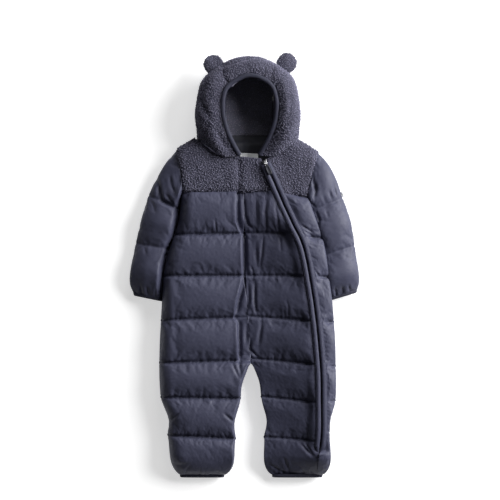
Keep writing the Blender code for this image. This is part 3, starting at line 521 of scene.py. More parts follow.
# %% [markdown]
# ### Creases placed one by one
#
# Simulation gives the small crinkles, but the large folds of this suit are where its maker and its
# folding put them. A crease here is a line on the panel with a width and a depth: the cloth sinks
# along it and stands up a little on both sides. Short ones cross every seam at uneven steps, and the
# main ones are written out one by one.

# %% Creases
SHOULDER_HEIGHT = 0.20  # of the cloth beside a crease, as a share of the crease's depth
SHOULDER_PLACE = 1.5  # where it is highest, in widths from the middle of the crease
SHOULDER_WIDTH = 0.75
CREASE_REACH = 3.0  # past this many widths a crease does nothing


def crease_depth(points, line, width, depth, ends="both"):
    """How far each point moves along its normal for one crease; below 0 is a valley.

    A crease fades at "both" ends, runs "whole" from end to end, or fades away from its "start".
    """
    total = np.zeros(len(points))
    line = [np.array(place[:2], float) for place in line]
    reach = CREASE_REACH * width
    low = np.min(line, axis=0) - reach
    high = np.max(line, axis=0) + reach
    near = np.nonzero((points[:, 0] > low[0]) & (points[:, 0] < high[0])
                      & (points[:, 1] > low[1]) & (points[:, 1] < high[1]))[0]
    if not len(near):
        return total
    flat = points[near, :2]
    best = np.full(len(near), 1e9)
    travelled = np.zeros(len(near))
    lengths = [np.linalg.norm(b - a) for a, b in zip(line, line[1:])]
    whole = sum(lengths)
    passed = 0.0
    for (a, b), length in zip(zip(line, line[1:]), lengths):
        run = (b - a) / length
        along = np.clip((flat - a) @ run, 0, length)
        away = np.linalg.norm(flat - a - along[:, None] * run, axis=1)
        closer = away < best
        best[closer] = away[closer]
        travelled[closer] = (passed + along[closer]) / whole
        passed += length
    share = best / width
    valley = -np.clip(1 - share, 0, 1) ** 1.25
    shoulder = SHOULDER_HEIGHT * np.exp(-((share - SHOULDER_PLACE) / SHOULDER_WIDTH) ** 2)
    if ends == "both":
        taper = np.sin(np.pi * np.clip(travelled, 0.02, 0.98)) ** 0.6
    elif ends == "whole":
        taper = 1.0
    else:
        taper = (1 - travelled) ** 0.8 * np.minimum(1.0, 0.25 + 3.5 * travelled)
    total[near] = depth * taper * (valley + shoulder)
    return total


CRINKLE_LEAN = 0.38  # how much the crinkles of a seam differ in direction
CRINKLE_WIDTHS = (0.0026, 0.0046)
CRINKLE_STEPS = (0.45, 0.7, 0.9, 1.1, 1.5, 2.2)  # shares of the mean step, so the crinkles are uneven


def seam_crinkles(points, seam, side, source, mean_step, reach, depth, slant=0.0):
    """Short creases that start on a seam and run away from it, to its left (1) or its right (-1)."""
    total = np.zeros(len(points))
    lengths = [(b - a).length for a, b in zip(seam, seam[1:])]
    whole = sum(lengths)
    place = source.uniform(0.2, 1.0) * mean_step
    while place < whole:
        passed = 0.0
        for (a, b), length in zip(zip(seam, seam[1:]), lengths):
            if passed + length >= place:
                break
            passed += length
        start = a.lerp(b, (place - passed) / length)
        run = (b - a).normalized()
        out = Vector((-run.y, run.x)) * side
        lean = source.gauss(slant, CRINKLE_LEAN)
        far = reach * math.exp(source.gauss(-0.25, 0.50))
        way = (out + run * lean).normalized()
        bend = run * source.uniform(-0.2, 0.2) * far
        line = [start, start + way * far * 0.5 + bend * 0.5, start + way * far]
        width = source.uniform(*CRINKLE_WIDTHS)
        total += crease_depth(points, line, width, depth * source.uniform(0.45, 1.35), "start")
        place += mean_step * source.choice(CRINKLE_STEPS)
    return total


# %% Heights over the fronts
FILL = 0.80  # how full a puff is
CHEST_Y = 0.045  # the chest is above this
CHEST_BLEND = 0.050
RIGHT_RISE = (0.84, 0.11, 0.090)  # share at the right side, more of it on the chest, and its reach
CENTRE_RISE = (1.38, 0.122, 0.036)  # share at the zip, its reach from the centre, less on the chest
CENTRE_FOLD = (0.0040, 0.0070)  # width of the step at the centre, and how far it leans
FOLD_REACH = 0.016  # the lean is gone this far past the step
STEP_FOOT = (0.03, 0.36)  # share at the foot of the step, and how much more it is on the chest
STEP_RISE = 10.0  # how fast the cloth rises again from the foot, in shares for each metre
LEFT_SHARE = 1.24
SIDE_EDGES = {
    # by the panel's first edge: reach in side roundings, its most in panel widths, and the floor
    "side": (0.9, 0.60, 0.0), "zip": (1.6, 0.92, 0.76),
}
INNER_ROUNDING = 0.002
INNER_FLOOR = 0.65  # share of the height that is left at a leg's inner edge
OVERLAP = 0.0010  # the right half reaches this far over the centre front
WANDER = 0.0008  # how far a seam strays from its line
CENTRE_CREASE = [
    # y, x of the step where the right half stands above the centre front, from the yoke down
    (0.1400, -0.0118), (0.0811, -0.0118), (0.0640, -0.0061), (0.0580, -0.0020), (-0.0177, -0.0010),
    (-0.0306, -0.0020), (-0.0694, -0.0115), (-0.0960, -0.0160), (-0.1009, -0.0165), (-0.1106, -0.0105),
    (-0.1784, -0.0075), (-0.1915, -0.0085), (-0.2150, -0.0060),
]


def wall_thickness(share, y, fill=1.0):
    seam = SEAM_THICKNESS + (HEM_THICKNESS - SEAM_THICKNESS) * near_hem(y)
    return seam + fill * (PUFF_THICKNESS - seam) * math.sin(math.pi * share) ** 0.55


def on_chest(y):
    """1 on the chest, 0 below it."""
    return smooth_step((y - CHEST_Y) / CHEST_BLEND)


def before_step(point):
    """How far a point lies to the right side of the step at the centre front."""
    rows = CENTRE_CREASE[::-1]
    return np.interp(point.y, [row[0] for row in rows], [row[1] for row in rows]) - point.x


def below_step(point):
    """Share of the thickness past the step: low at its foot, then rising towards the zip."""
    low, chest = STEP_FOOT
    return low + chest * on_chest(point.y) + STEP_RISE * max(-before_step(point), 0.0)


def slow_rise(kinds, left, edge, point, sewn):
    """The body's broad form at a distance from a panel's left edge."""
    if kinds == ("side", "inner"):
        floor, chest, reach = RIGHT_RISE
        floor += chest * on_chest(point.y)
        rise = 1 - (1 - floor) * (1 - min(left / reach, 1.0)) ** 2
        low = below_step(point)
        fall = low + (1 - low) * smooth_step(before_step(point) / CENTRE_FOLD[0] + 0.5)
        return rise * (1 + (fall - 1) * sewn)
    if kinds == ("inner", "zip"):
        crest, reach, shorter = CENTRE_RISE
        reach -= shorter * on_chest(point.y)
        floor = STEP_FOOT[0] + (below_step(edge) - STEP_FOOT[0]) * sewn
        return floor + (crest - floor) * min(left / reach, 1.0) ** 1.20
    return LEFT_SHARE


def panel_point(edges, across, down, overlap=0.0):
    """A plan point of a panel, the point on its left edge beside it, and the panel's width there."""
    left, right = (EDGES[edge](down) for edge in edges)
    right.x += overlap * above_crotch(right.y)
    return left.lerp(right, across), left, (right - left).length


def from_edges(kinds, across, width):
    """Both kinds of edge of a panel, each with a point's distance from it."""
    return (kinds[0], across * width), (kinds[1], (1 - across) * width)


def leg_edge(distance, reach, sewn, floor=0.0):
    """The rounding of an inner edge: full on a leg, none where the two halves are sewn together."""
    return 1 + (rounding(distance, reach, floor) - 1) * (1 - sewn)


def front_point(edges, kinds, across, down):
    """A point of a front panel before it is inflated."""
    at_step = kinds == ("side", "inner")
    point, left, width = panel_point(edges, across, down, OVERLAP if at_step else 0.0)
    full = wall_thickness(down - int(down), point.y, FILL)
    sewn = above_crotch(point.y)
    profile = slow_rise(kinds, across * width, left, point, sewn)
    on_zip = 1.0
    for kind, distance in from_edges(kinds, across, width):
        if kind == "zip":
            on_zip = max(smooth_step((distance + ZIP_GAP - ZIP_FLAT) / ZIP_RISE), 1 - zip_open(point.y))
        elif kind == "side":
            most, share, floor = SIDE_EDGES[kinds[0]]
            profile *= rounding(distance, min(most * SIDE_ROUNDING, share * width), floor)
        else:
            profile *= leg_edge(distance, INNER_ROUNDING, sewn, INNER_FLOOR)
    height = EDGE_THICKNESS + (full - EDGE_THICKNESS) * profile
    on_seam = zip_thickness(point.y)
    height = on_seam + (height - on_seam) * on_zip
    wander = WANDER * noise.noise(Vector((point.x * 60, point.y * 9, 3.0)))
    tucked = 0.0
    if at_step:
        width_of_step, lean = CENTRE_FOLD
        beyond = -before_step(point)
        tucked = lean * smooth_step(beyond / width_of_step + 0.5) * sewn * max(1 - beyond / FOLD_REACH, 0.0)
    return Vector((point.x - tucked, point.y + wander, middle_height(point.y) + height))


def down_closed(mesh, ground):
    """Close an open panel: its rim goes down to a height, and one face fills the bottom."""
    bm = bmesh.new()
    bm.from_mesh(mesh)
    bpy.data.meshes.remove(mesh)
    made = bmesh.ops.extrude_edge_only(bm, edges=open_edges(bm))["geom"]
    for vertex in [part for part in made if isinstance(part, bmesh.types.BMVert)]:
        vertex.co.z = ground(vertex.co)
    lower = [part for part in made if isinstance(part, bmesh.types.BMEdge)]
    bmesh.ops.contextual_create(bm, geom=[edge for edge in lower if edge.is_boundary])
    face_outwards(bm)
    return bm


# %% The main folds of the fronts
FOLD_SHARE = 0.72  # how much of its written depth a main fold is given
FRONT_FOLDS = [
    # line of plan points, width, depth
    ([(-0.0118, 0.1381), (-0.0124, 0.1100), (-0.0118, 0.0811), (-0.0061, 0.0640)], 0.0050, 0.0050),
    ([(-0.0017, 0.1294), (0.0013, 0.0930), (0.0070, 0.0760), (0.0215, 0.0630)], 0.0046, 0.0038),
    ([(0.0215, 0.1300), (0.0235, 0.0697)], 0.0070, 0.0026),
    ([(0.0443, 0.1362), (0.0391, 0.1001), (0.0427, 0.0602)], 0.0055, 0.0028),
    ([(0.0597, 0.1125), (0.0657, 0.0640)], 0.0042, 0.0020),
    ([(-0.0555, 0.0859), (-0.0530, 0.0616)], 0.0032, 0.0024),
    ([(0.0015, 0.0621), (0.0019, 0.0184), (0.0028, -0.0177)], 0.0050, 0.0065),
    ([(0.0215, 0.0374), (0.0253, -0.0101)], 0.0060, 0.0030),
    ([(0.0367, 0.0591), (0.0338, 0.0253), (0.0300, -0.0074)], 0.0042, 0.0030),
    ([(0.0120, -0.0015), (0.0177, -0.0158)], 0.0032, 0.0020),
    ([(0.0680, 0.0545), (0.0699, 0.0241)], 0.0042, 0.0020),
    ([(0.0015, -0.0306), (-0.0093, -0.0694), (-0.0142, -0.0960)], 0.0050, 0.0052),
    ([(0.0072, -0.0329), (0.0091, -0.0671), (0.0034, -0.0937)], 0.0050, 0.0026),
    ([(0.0198, -0.0310), (0.0198, -0.0716), (0.0234, -0.0960)], 0.0046, 0.0042),
    ([(-0.0165, -0.1009), (-0.0093, -0.1106), (-0.0084, -0.1500), (-0.0080, -0.1784),
      (-0.0093, -0.1915), (-0.0057, -0.2150)], 0.0050, 0.0056),
    ([(0.0053, -0.1108), (0.0034, -0.1526)], 0.0050, 0.0028),
    ([(0.0342, -0.1056), (0.0270, -0.1541)], 0.0052, 0.0036),
    ([(0.0125, -0.1419), (0.0101, -0.1613), (0.0270, -0.1784)], 0.0042, 0.0040),
    ([(-0.0239, -0.1843), (-0.0093, -0.2158)], 0.0038, 0.0030),
    ([(0.1073, 0.0754), (0.1313, 0.0597)], 0.0034, 0.0034),
    ([(0.1117, 0.0659), (0.1288, 0.0553)], 0.0028, 0.0020),
    ([(0.1357, -0.0120), (0.1440, -0.0253)], 0.0030, 0.0020),
    ([(-0.1429, -0.2981), (-0.1233, -0.2812)], 0.0040, 0.0032),
    ([(-0.0203, -0.2981), (-0.0384, -0.2823)], 0.0040, 0.0032),
    ([(0.1045, -0.3369), (0.1220, -0.3560), (0.1336, -0.3659)], 0.0042, 0.0036),
    ([(0.1142, -0.3369), (0.1313, -0.3612)], 0.0034, 0.0028),
    ([(0.1336, -0.3697), (0.1507, -0.3612)], 0.0034, 0.0026),
    ([(0.0756, -0.3684), (0.0828, -0.3878)], 0.0038, 0.0030),
    ([(0.0464, -0.3806), (0.0732, -0.3960)], 0.0034, 0.0026),
]


# %% Seams, and panels quilted along them
SEAM_STEPS = 6
SEAM_GROOVE = (0.0042, 0.0016)  # width and depth of the groove along a seam
ABOVE_SEAM = (0.0130, 0.0135, 0.0012)  # mean step, reach and depth of the crinkles above a seam
BELOW_SEAM = (0.0120, 0.0080, 0.0008)  # and of those below it
BELOW_FIRST_REACH = 0.0130  # which reach farther below the panel's first seam
BESIDE_ZIP = 0.0065  # the welts' seams are this far from the zip
ZIP_CRINKLES = (
    # side of the zip, reach and depth of the crinkles there
    (1, 0.0125, 0.0008), (-1, 0.0090, 0.0007),
)
ZIP_CRINKLE_STEP, ZIP_CRINKLE_SLANT = 0.0078, 0.75
CENTRE_CAP = (0.0012, 0.0022)  # how far Cloth may move the centre front, and how much more at the zip
STRIP_CAP = 0.0012  # and the strip of the right front between its step and the centre seam
STRIP_BLEND = 0.006


def seam_line(edges, down):
    """Plan points along a quilting seam from one edge of a panel to the other."""
    left, right = (EDGES[edge](min(down, LAST_SEAM)) for edge in edges)
    return [left.lerp(right, step / SEAM_STEPS) for step in range(SEAM_STEPS + 1)]


def creased(mesh, seams, source, folds=(), strength=1.0):
    """Press the seams and their crinkles into a panel, then its main folds on the upper face."""
    points = coordinates(mesh)
    normals = vertex_normals(mesh)
    depth = np.zeros(len(points))
    last = len(seams) - 1
    for seam, line in enumerate(seams):
        if 0 < seam < last:
            width, sink = SEAM_GROOVE
            depth += crease_depth(points, line, width, sink * strength, "whole")
        if seam > 0:
            step, reach, sink = ABOVE_SEAM
            depth += seam_crinkles(points, line, 1, source, step, reach, sink * strength)
        if seam < last:
            step, reach, sink = BELOW_SEAM
            reach = reach if seam else BELOW_FIRST_REACH
            depth += seam_crinkles(points, line, -1, source, step, reach, sink * strength)
    for line, width, sink in folds:
        depth += crease_depth(points, line, width, FOLD_SHARE * sink) * (normals[:, 2] > -0.2)
    return points + normals * depth[:, None]


def quilted(side, layer, kinds, edges, columns, rows, point_of, seed, folds=(), cap=0.007, strength=1.0):
    """A padded panel: placed, pinned along its seams, inflated, creased and closed."""
    source = random.Random(seed)

    def place(across, down):
        return point_of(edges, kinds, across, min(down * CHANNELS, LAST_SEAM))

    bm = grid_mesh(columns, rows, place)
    channel_rows = rows // CHANNELS
    pinned, calm = [], []
    for index, vertex in enumerate(bm.verts):
        row, column = divmod(index, columns + 1)
        down = (rows - row) / channel_rows
        from_seam = abs(down - round(down))
        width = panel_point(edges, 0.0, min(down, LAST_SEAM))[2]
        on_zip = any(kind == "zip" and distance < ZIP_FLAT - ZIP_GAP + 0.001
                     for kind, distance in from_edges(kinds, column / columns, width))
        held = from_seam < 1e-4 or column in (0, columns) or on_zip
        pinned.append(1.0 if held else 0.0)
        calm.append(min(1.0, 3.2 * from_seam))
        vertex.co.z += 0.0 if held else source.uniform(-START_JITTER, START_JITTER)
    if kinds == ("inner", "zip"):
        across = [index % (columns + 1) / columns for index in range(len(bm.verts))]
        cap = [CENTRE_CAP[0] + CENTRE_CAP[1] * share for share in across]
    if kinds == ("side", "inner") and folds:
        cap = [STRIP_CAP + (cap - STRIP_CAP) * smooth_step(0.5 + before_step(vertex.co) / STRIP_BLEND)
               if above_crotch(vertex.co.y) > 0.5 else cap for vertex in bm.verts]
    mesh = inflated(bm, pinned, calm, cap)
    points = creased(mesh, [seam_line(edges, seam) for seam in range(CHANNELS + 1)], source, folds, strength)
    for zip_side, reach, depth in ZIP_CRINKLES:
        column = 1 if zip_side > 0 else 0
        if kinds[1 - column] == "zip":
            edge = [zip_edge(step / 6, column, zip_side) for step in range(6, 6 * CHANNELS - 4)]
            beside = [point + Vector((zip_side * BESIDE_ZIP, 0.0)) for point in edge]
            sunk = seam_crinkles(points, beside, zip_side, source, ZIP_CRINKLE_STEP, reach, depth,
                                 ZIP_CRINKLE_SLANT)
            points = points + vertex_normals(mesh) * sunk[:, None]
    set_coordinates(mesh, points)
    bm = down_closed(mesh, lambda point: middle_height(point.y))
    piece = add_piece(f"quilted_{layer}_{side}", bm, SHELL, nodes=(f"{layer}_{side}",))
    print(piece.name, "height, mm:", round(1000 * points[:, 2].max(), 1))


# %% The three fronts
for side, kinds, edges, columns, seed, strength in (
        ("right", ("side", "inner"), ("right side", "right inner"), 56, 11, 1.0),
        ("centre", ("inner", "zip"), ("left inner", "zip centre"), 46, 12, 1.0),
        ("left", ("zip", "side"), ("zip left", "left side"), 18, 13, 0.4)):
    quilted(side, "front", kinds, edges, columns, 28 * CHANNELS, front_point, seed, FRONT_FOLDS,
            strength=strength)

# %% [markdown]
# ### The backs
#
# The suit rests on its back, so the puffs there are pressed flat on the table and only the seams
# stand clear of it, as grooves with crinkles across them. The same helper makes them: the panel is
# placed upside down in height, on the table with its edges turned up, and inflated within a small cap.

# %% Two backs
BACK_GROOVE = 0.0065  # how far a back's seams stand clear of the table


def back_point(edges, kinds, across, down):
    """A point of a back panel before it is inflated: on the table, and turned up at its open edges."""
    point, _, width = panel_point(edges, across, down)
    top = middle_height(point.y)
    profile = 1.0
    for kind, distance in from_edges(kinds, across, width):
        if kind == "side":
            profile *= rounding(distance, BACK_ROUNDING)
        else:
            profile *= leg_edge(distance, BACK_ROUNDING, above_crotch(point.y))
    groove = BACK_GROOVE * (1 - math.sin(math.pi * (down - int(down))) ** 0.35)
    return Vector((point.x, point.y, groove + (top - EDGE_THICKNESS - groove) * (1 - profile)))


for side, kinds, edges, seed in (("right", ("side", "inner"), ("right side", "right inner"), 21),
                                 ("left", ("inner", "side"), ("left inner", "left side"), 22)):
    quilted(side, "back", kinds, edges, 44, 16 * CHANNELS, back_point, seed, cap=0.004)

# %% [markdown]
# ## Sleeves
#
# A sleeve is a flat padded tube that lies beside the body. It is the same quilting as the fronts,
# but closed all round, so a grid is rolled into a tube: its sections come from a table, its two
# quilting seams and both ends are pinned, and so is everything that rests on the table. A second,
# slim tube inside it is the space for the arm, and the two are bridged at the cuff and the armhole.

# %% Sections of the sleeves
SLEEVES = {
    "right": [
        # outer x, outer y, inner y, height, from the armhole to the cuff
        (-0.1265, 0.2210, 0.1290, 0.0380), (-0.1542, 0.1885, 0.1165, 0.0415),
        (-0.1830, 0.1315, 0.1040, 0.0335), (-0.1970, 0.0880, 0.0680, 0.0415),
        (-0.2075, 0.0405, 0.0290, 0.0335), (-0.2165, -0.0060, -0.0180, 0.0405),
        (-0.2185, -0.0340, -0.0480, 0.0340), (-0.2118, -0.0545, -0.0665, 0.0240),
    ],
    "left": [
        (0.1400, 0.2138, 0.1225, 0.0400), (0.1655, 0.1835, 0.1120, 0.0470),
        (0.1883, 0.1264, 0.1010, 0.0385), (0.2035, 0.0830, 0.0600, 0.0480),
        (0.2108, 0.0360, 0.0170, 0.0385), (0.2172, -0.0050, -0.0230, 0.0465),
        (0.2197, -0.0320, -0.0480, 0.0380), (0.2155, -0.0485, -0.0650, 0.0240),
    ],
}
SLEEVE_SEAMS = (0, 2, 4, 7)  # the sections that are seams
SLEEVE_TUCK = {"right": 0.0040, "left": 0.0055}  # how far it reaches in under the side of the body
SLEEVE_SLIT = 0.0028  # height of the space for the arm
SLEEVE_SIDE_WALL = 0.0110
TUBE_SIDE = 0.80  # powers that make a flat tube's round squarer, along it
TUBE_TOP = 0.68  # and in height
TUBE_FILL = 0.53  # how far a tube stands from its middle, as a share of its height
SLEEVE_FORMS = {
    # how much higher it stands beside the body, how far it dips at that edge, and how square the edge is
    "right": (0.30, 0.74, TUBE_TOP), "left": (0.12, 0.0, 0.40),
}
FLAT_FORM = (0.0, 0.0, TUBE_TOP)
SIDE_STEPS = [min(step / 8, LAST_SEAM) for step in range(8 * CHANNELS + 1)]
SIDES = {side: np.array([EDGES[side + " side"](down) for down in SIDE_STEPS]) for side in ("right", "left")}


def sleeve_section(side, down):
    """Plan points of a sleeve's outer and inner edge, and its height, at a share of its length."""
    outward = -1 if side == "right" else 1
    rows = SLEEVES[side]
    position = down * (len(rows) - 1)
    outer = spline_point([Vector(row[:2]) for row in rows], position)
    inner_y, height = spline_point([Vector(row[2:]) for row in rows], position)
    body = np.interp(inner_y, SIDES[side][::-1, 1], SIDES[side][::-1, 0])
    return outer, Vector((body - outward * SLEEVE_TUCK[side], inner_y)), height, SLEEVE_FORMS[side]


def squarish(value, power):
    """A sine or cosine bent towards a square: the lower the power, the squarer."""
    return math.copysign(abs(value) ** power, value)


def flat_ring(outer, inner, height, form, around, inset=0.0, slit=0.0):
    """A point round a flat tube between two plan points; with a slit it is the space inside."""
    across = (inner - outer).normalized()
    width = (inner - outer).length - 2 * inset
    middle = outer.lerp(inner, 0.5)
    angle = 2 * math.pi * around
    beside, up = math.cos(angle), math.sin(angle)
    along = squarish(beside, TUBE_SIDE) * width / 2
    lean, dip, square = form
    rise = squarish(up, square if up > 0 and beside > 0 else TUBE_TOP)
    higher = 1.0
    if up > 0:
        higher = (1 + lean * beside * rise) * (1 - dip * smooth_step((beside - 0.50) / 0.50))
    if slit:
        z = height / 2 + rise * slit / 2
    else:
        z = max(0.0, (height / 2 + rise * height * TUBE_FILL) * higher)
    return Vector((middle.x + across.x * along, middle.y + across.y * along, z))


# %% The main folds of the sleeves
SLEEVE_FOLDS = {
    "right": [
        # line of plan points, width, depth
        ([(-0.1657, 0.1628), (-0.1609, 0.1362), (-0.1562, 0.1216), (-0.1391, 0.1119), (-0.1269, 0.1020)],
         0.0056, 0.0060),
        ([(-0.1499, 0.1338), (-0.1341, 0.1144)], 0.0046, 0.0034),
        ([(-0.1420, 0.1700), (-0.1380, 0.1480), (-0.1300, 0.1330)], 0.0050, 0.0030),
        ([(-0.1760, 0.1200), (-0.1700, 0.0990)], 0.0050, 0.0022),
        ([(-0.1910, 0.0350), (-0.1870, 0.0190)], 0.0042, 0.0020),
        ([(-0.1990, -0.0380), (-0.1960, -0.0560)], 0.0036, 0.0030),
        ([(-0.1850, -0.0420), (-0.1840, -0.0600)], 0.0036, 0.0030),
        ([(-0.1690, -0.0460), (-0.1700, -0.0620)], 0.0034, 0.0026),
    ],
    "left": [
        ([(0.1313, 0.1600), (0.1357, 0.1425), (0.1334, 0.1273)], 0.0048, 0.0056),
        ([(0.1357, 0.1011), (0.1421, 0.0857), (0.1389, 0.0728)], 0.0040, 0.0044),
        ([(0.1226, 0.1207), (0.1334, 0.1098)], 0.0036, 0.0034),
        ([(0.1619, 0.1402), (0.1663, 0.1250)], 0.0036, 0.0024),
        ([(0.1706, 0.1556), (0.1750, 0.1294)], 0.0040, 0.0028),
        ([(0.1490, 0.1330), (0.1560, 0.1150)], 0.0036, 0.0022),
        ([(0.1554, 0.1032), (0.1596, 0.0901)], 0.0034, 0.0022),
        ([(0.1725, -0.0450), (0.1771, -0.0625)], 0.0034, 0.0034),
        ([(0.1860, -0.0410), (0.1900, -0.0590)], 0.0034, 0.0030),
        ([(0.1990, -0.0380), (0.2020, -0.0540)], 0.0032, 0.0026),
    ],
}
SLEEVE_ROWS, SLEEVE_COLUMNS = 98, 64
SLEEVE_MIDDLE_Y = 0.04  # the armhole is above this, the cuff below


# %% Two sleeves
def padded_sleeve(side, seed):
    """A closed tube, quilted like the fronts, with the space for the arm bridged to its ends."""
    source = random.Random(seed)
    sections = len(SLEEVES[side]) - 1
    bm = grid_mesh(SLEEVE_COLUMNS, SLEEVE_ROWS,
                   lambda around, down: flat_ring(*sleeve_section(side, down), around), around=True)
    face_outwards(bm)
    across_layer, down_layer = (bm.verts.layers.float[name] for name in ("across", "down"))
    pinned, calm = [], []
    for vertex in bm.verts:
        from_seam = min(abs(vertex[down_layer] * sections - seam) for seam in SLEEVE_SEAMS)
        hidden = min(vertex[across_layer], 1 - vertex[across_layer]) < 0.04
        held = from_seam < 1e-3 or vertex.co.z < 0.0004 or hidden
        pinned.append(1.0 if held else 0.0)
        calm.append(min(1.0, 1.4 * from_seam))
        vertex.co.z += 0.0 if held else source.uniform(-START_JITTER, START_JITTER)
    mesh = inflated(bm, pinned, calm, 0.006)
    seams = []
    for section in SLEEVE_SEAMS:
        ends = sleeve_section(side, section / sections)[:2]
        left, right = sorted(ends, key=lambda point: point.x)
        seams.append([left.lerp(right, step / SEAM_STEPS) for step in range(SEAM_STEPS + 1)])
    points = creased(mesh, seams, source, SLEEVE_FOLDS[side], 0.5)
    points[:, 2] = np.maximum(points[:, 2], 0.0)
    set_coordinates(mesh, points)
    inside = grid_mesh(2 * SLEEVE_COLUMNS, 10, lambda around, down: flat_ring(
        *sleeve_section(side, down), around, SLEEVE_SIDE_WALL, SLEEVE_SLIT), around=True)
    face_outwards(inside)
    bmesh.ops.reverse_faces(inside, faces=inside.faces[:])
    bm = bmesh.new()
    bm.from_mesh(mesh)
    bm.from_mesh(as_mesh("arm_space", inside))
    for at_armhole in (True, False):
        rims = [edge for edge in open_edges(bm) if (edge.verts[0].co.y > SLEEVE_MIDDLE_Y) == at_armhole]
        bmesh.ops.bridge_loops(bm, edges=rims)
    piece = add_piece("quilted_sleeve_" + side, bm, SHELL, nodes=("sleeve_" + side,))
    print(piece.name, "loose edges:", sum(edge.is_loose for edge in piece.data.edges))


padded_sleeve("right", 31)
padded_sleeve("left", 32)

# %% [markdown]
# ### Cuffs and hems
#
# Each sleeve and each leg ends in a narrow elastic binding. It is one rounded band that turns over
# the end of the tube, so a grid is bent round a small half circle and carried round the opening.
# The elastic gathers it, which shows as uneven ripples across the band.

# %% Bound ends
BAND_WIDTH = 0.0072
BAND_EASE = 0.0004  # which its turn takes up
BAND_OVERLAP = 0.0016  # how far back on the tube it starts
BAND_WALL = 0.0058
BAND_LIFT = 0.0010
BAND_BULGE = 0.0011
BAND_RIPPLE = 0.00055


def bound_end(kind, side, outer, inner, run, height, form, seed):
    """A gathered band round the end of a flat tube; run points away from the tube."""
    run = Vector((run.x, run.y, 0.0))

    def place(around, over):
        ripple = noise.noise(Vector((around * 46.0, seed, over * 0.7)))
        ripple += 0.5 * noise.noise(Vector((around * 97.0, seed + 5.0, 0.0)))
        turn = math.pi * over
        ahead = -BAND_OVERLAP + (BAND_WIDTH - BAND_EASE) * math.sin(turn) ** 0.75
        outside = flat_ring(outer, inner, height + BAND_LIFT, form, around)
        inside = flat_ring(outer, inner, height, form, around, BAND_WALL, SLEEVE_SLIT)
        point = outside.lerp(inside, 0.5 - 0.5 * math.cos(turn))
        bulge = BAND_BULGE * math.sin(turn) ** 0.5 + BAND_RIPPLE * ripple * math.sin(turn) ** 0.3
        away = (outside - inside).normalized()
        point = point + away * bulge + run * ahead
        point.z = max(point.z, 0.0)
        return point

    bm = grid_mesh(120, 12, place, around=True)
    face_outwards(bm)
    add_piece(f"{kind}_band_{side}", bm, BINDING, nodes=(f"{kind}_binding_{side}",))


for side, seed in (("right", 3.0), ("left", 4.0)):
    outer, inner, height, form = sleeve_section(side, 1.0)
    behind_outer, behind_inner = sleeve_section(side, 0.97)[:2]
    way = (outer + inner - behind_outer - behind_inner).normalized()
    bound_end("cuff", side, outer, inner, way, height, form, seed)
    outer, inner = (EDGES[f"{side} {edge}"](LAST_SEAM) for edge in ("side", "inner"))
    bound_end("hem", side, outer, inner, Vector((0.0, -1.0)), 2 * HEM_MIDDLE - 0.003, FLAT_FORM, seed + 2.0)

# %% [markdown]
# ## Fleece
#
# The hood, the ears and the yokes are curly fleece: a knitted ground with a pile of small curls
# three millimetres long. Bump alone goes flat at the outline, where real fleece is fuzzy, so the
# pile is geometry. One curl is a short thick strand swept round an arc with a small sideways step.
# A few such curls are copied over the cloth, each turned, leaned and scaled a little differently,
# and every copy carries its height as an attribute, which the finish reads as painted shade: dark
# at the roots and on the bare cloth, light at the tips, as light falls into real pile.

# %% Fleece finish
def fleece_finish(name, root, tip, ground):
    """Pile with painted shade at its roots and on its bare cloth, lighter towards the tips. ground is the
    share of the tip colour on the bare cloth.
    """
    pile = Finish(name, Roughness=0.88, Specular_IOR_Level=0.20)
    height = pile.node("ShaderNodeAttribute", {"attribute_name": "pile_height"}, output=2)
    drift = pile.noise(45.0, 3.0)
    lift = pile.noise(420.0, 2.0)
    share = (height * 0.85 + drift * 0.30 + lift * 0.30 - 0.30).maths("ADD", ground, clamp=True)
    pile.feed(Base_Color=pile.blend(share, root, tip))
    pile.bump(pile.noise(1500.0, 2.0, 0.6), 0.0003, 0.8)
    return pile.material


# The first colour of each finish is painted shade, for the roots of the pile and the bare cloth between
# curls.
FLEECE = fleece_finish("curly_fleece", (0.062, 0.061, 0.090), (0.300, 0.295, 0.408), 0.0)
# The lining and its bare cloth are set lighter than the hood's fleece: painted light for the shaded inside of
# the hood.
LINING = fleece_finish("lining_pile", (0.085, 0.084, 0.118), (0.400, 0.396, 0.500), 0.28)
print("pile finishes:", FLEECE.name, LINING.name)


# %% Curls
def template(bm):
    """A bmesh as arrays to copy: its points, the corners of its faces, and how many each face has."""
    mesh = as_mesh("template", bm)
    points = coordinates(mesh)
    corners = np.array([index for face in mesh.polygons for index in face.vertices], np.int32)
    sizes = np.array([len(face.vertices) for face in mesh.polygons], np.int32)
    bpy.data.meshes.remove(mesh)
    return points, corners, sizes


def curl_template(loop, strand, sweep, step, stretch, sides=3, steps=3):
    """Points and faces of one curl that stands on z = 0; sizes in metres, the sweep in degrees."""
    bm = bmesh.new()
    bmesh.ops.create_circle(bm, segments=sides, radius=strand)
    bmesh.ops.spin(bm, geom=bm.verts[:] + bm.edges[:], cent=(loop, 0, 0), axis=(0, 1, 0),
                   dvec=(0, step, 0), angle=math.radians(sweep), steps=steps, use_duplicate=False)
    bmesh.ops.recalc_face_normals(bm, faces=bm.faces[:])
    bmesh.ops.translate(bm, vec=(-loop, -2 * step, 0), verts=bm.verts[:])
    bmesh.ops.scale(bm, vec=(1, 1, stretch), verts=bm.verts[:])
    return template(bm)


CURLS = [
    # loop radius, strand radius, sweep, sideways step, stretch in height
    curl_template(0.00095, 0.00064, 185, 0.00018, 1.50),
    curl_template(0.00115, 0.00060, 205, 0.00030, 1.25),
    curl_template(0.00080, 0.00068, 170, -0.00014, 1.85),
    curl_template(0.00105, 0.00056, 230, -0.00040, 1.35),
    curl_template(0.00072, 0.00062, 195, 0.00048, 1.90),
]
CURL_TOP = 0.0027  # the painted shade on a curl fades out up to this height
CURL_LEAN = 0.28  # how much curls differ in direction
CURL_SIZES = (0.78, 1.22)
print("faces of a curl:", [len(sizes) for _, _, sizes in CURLS])


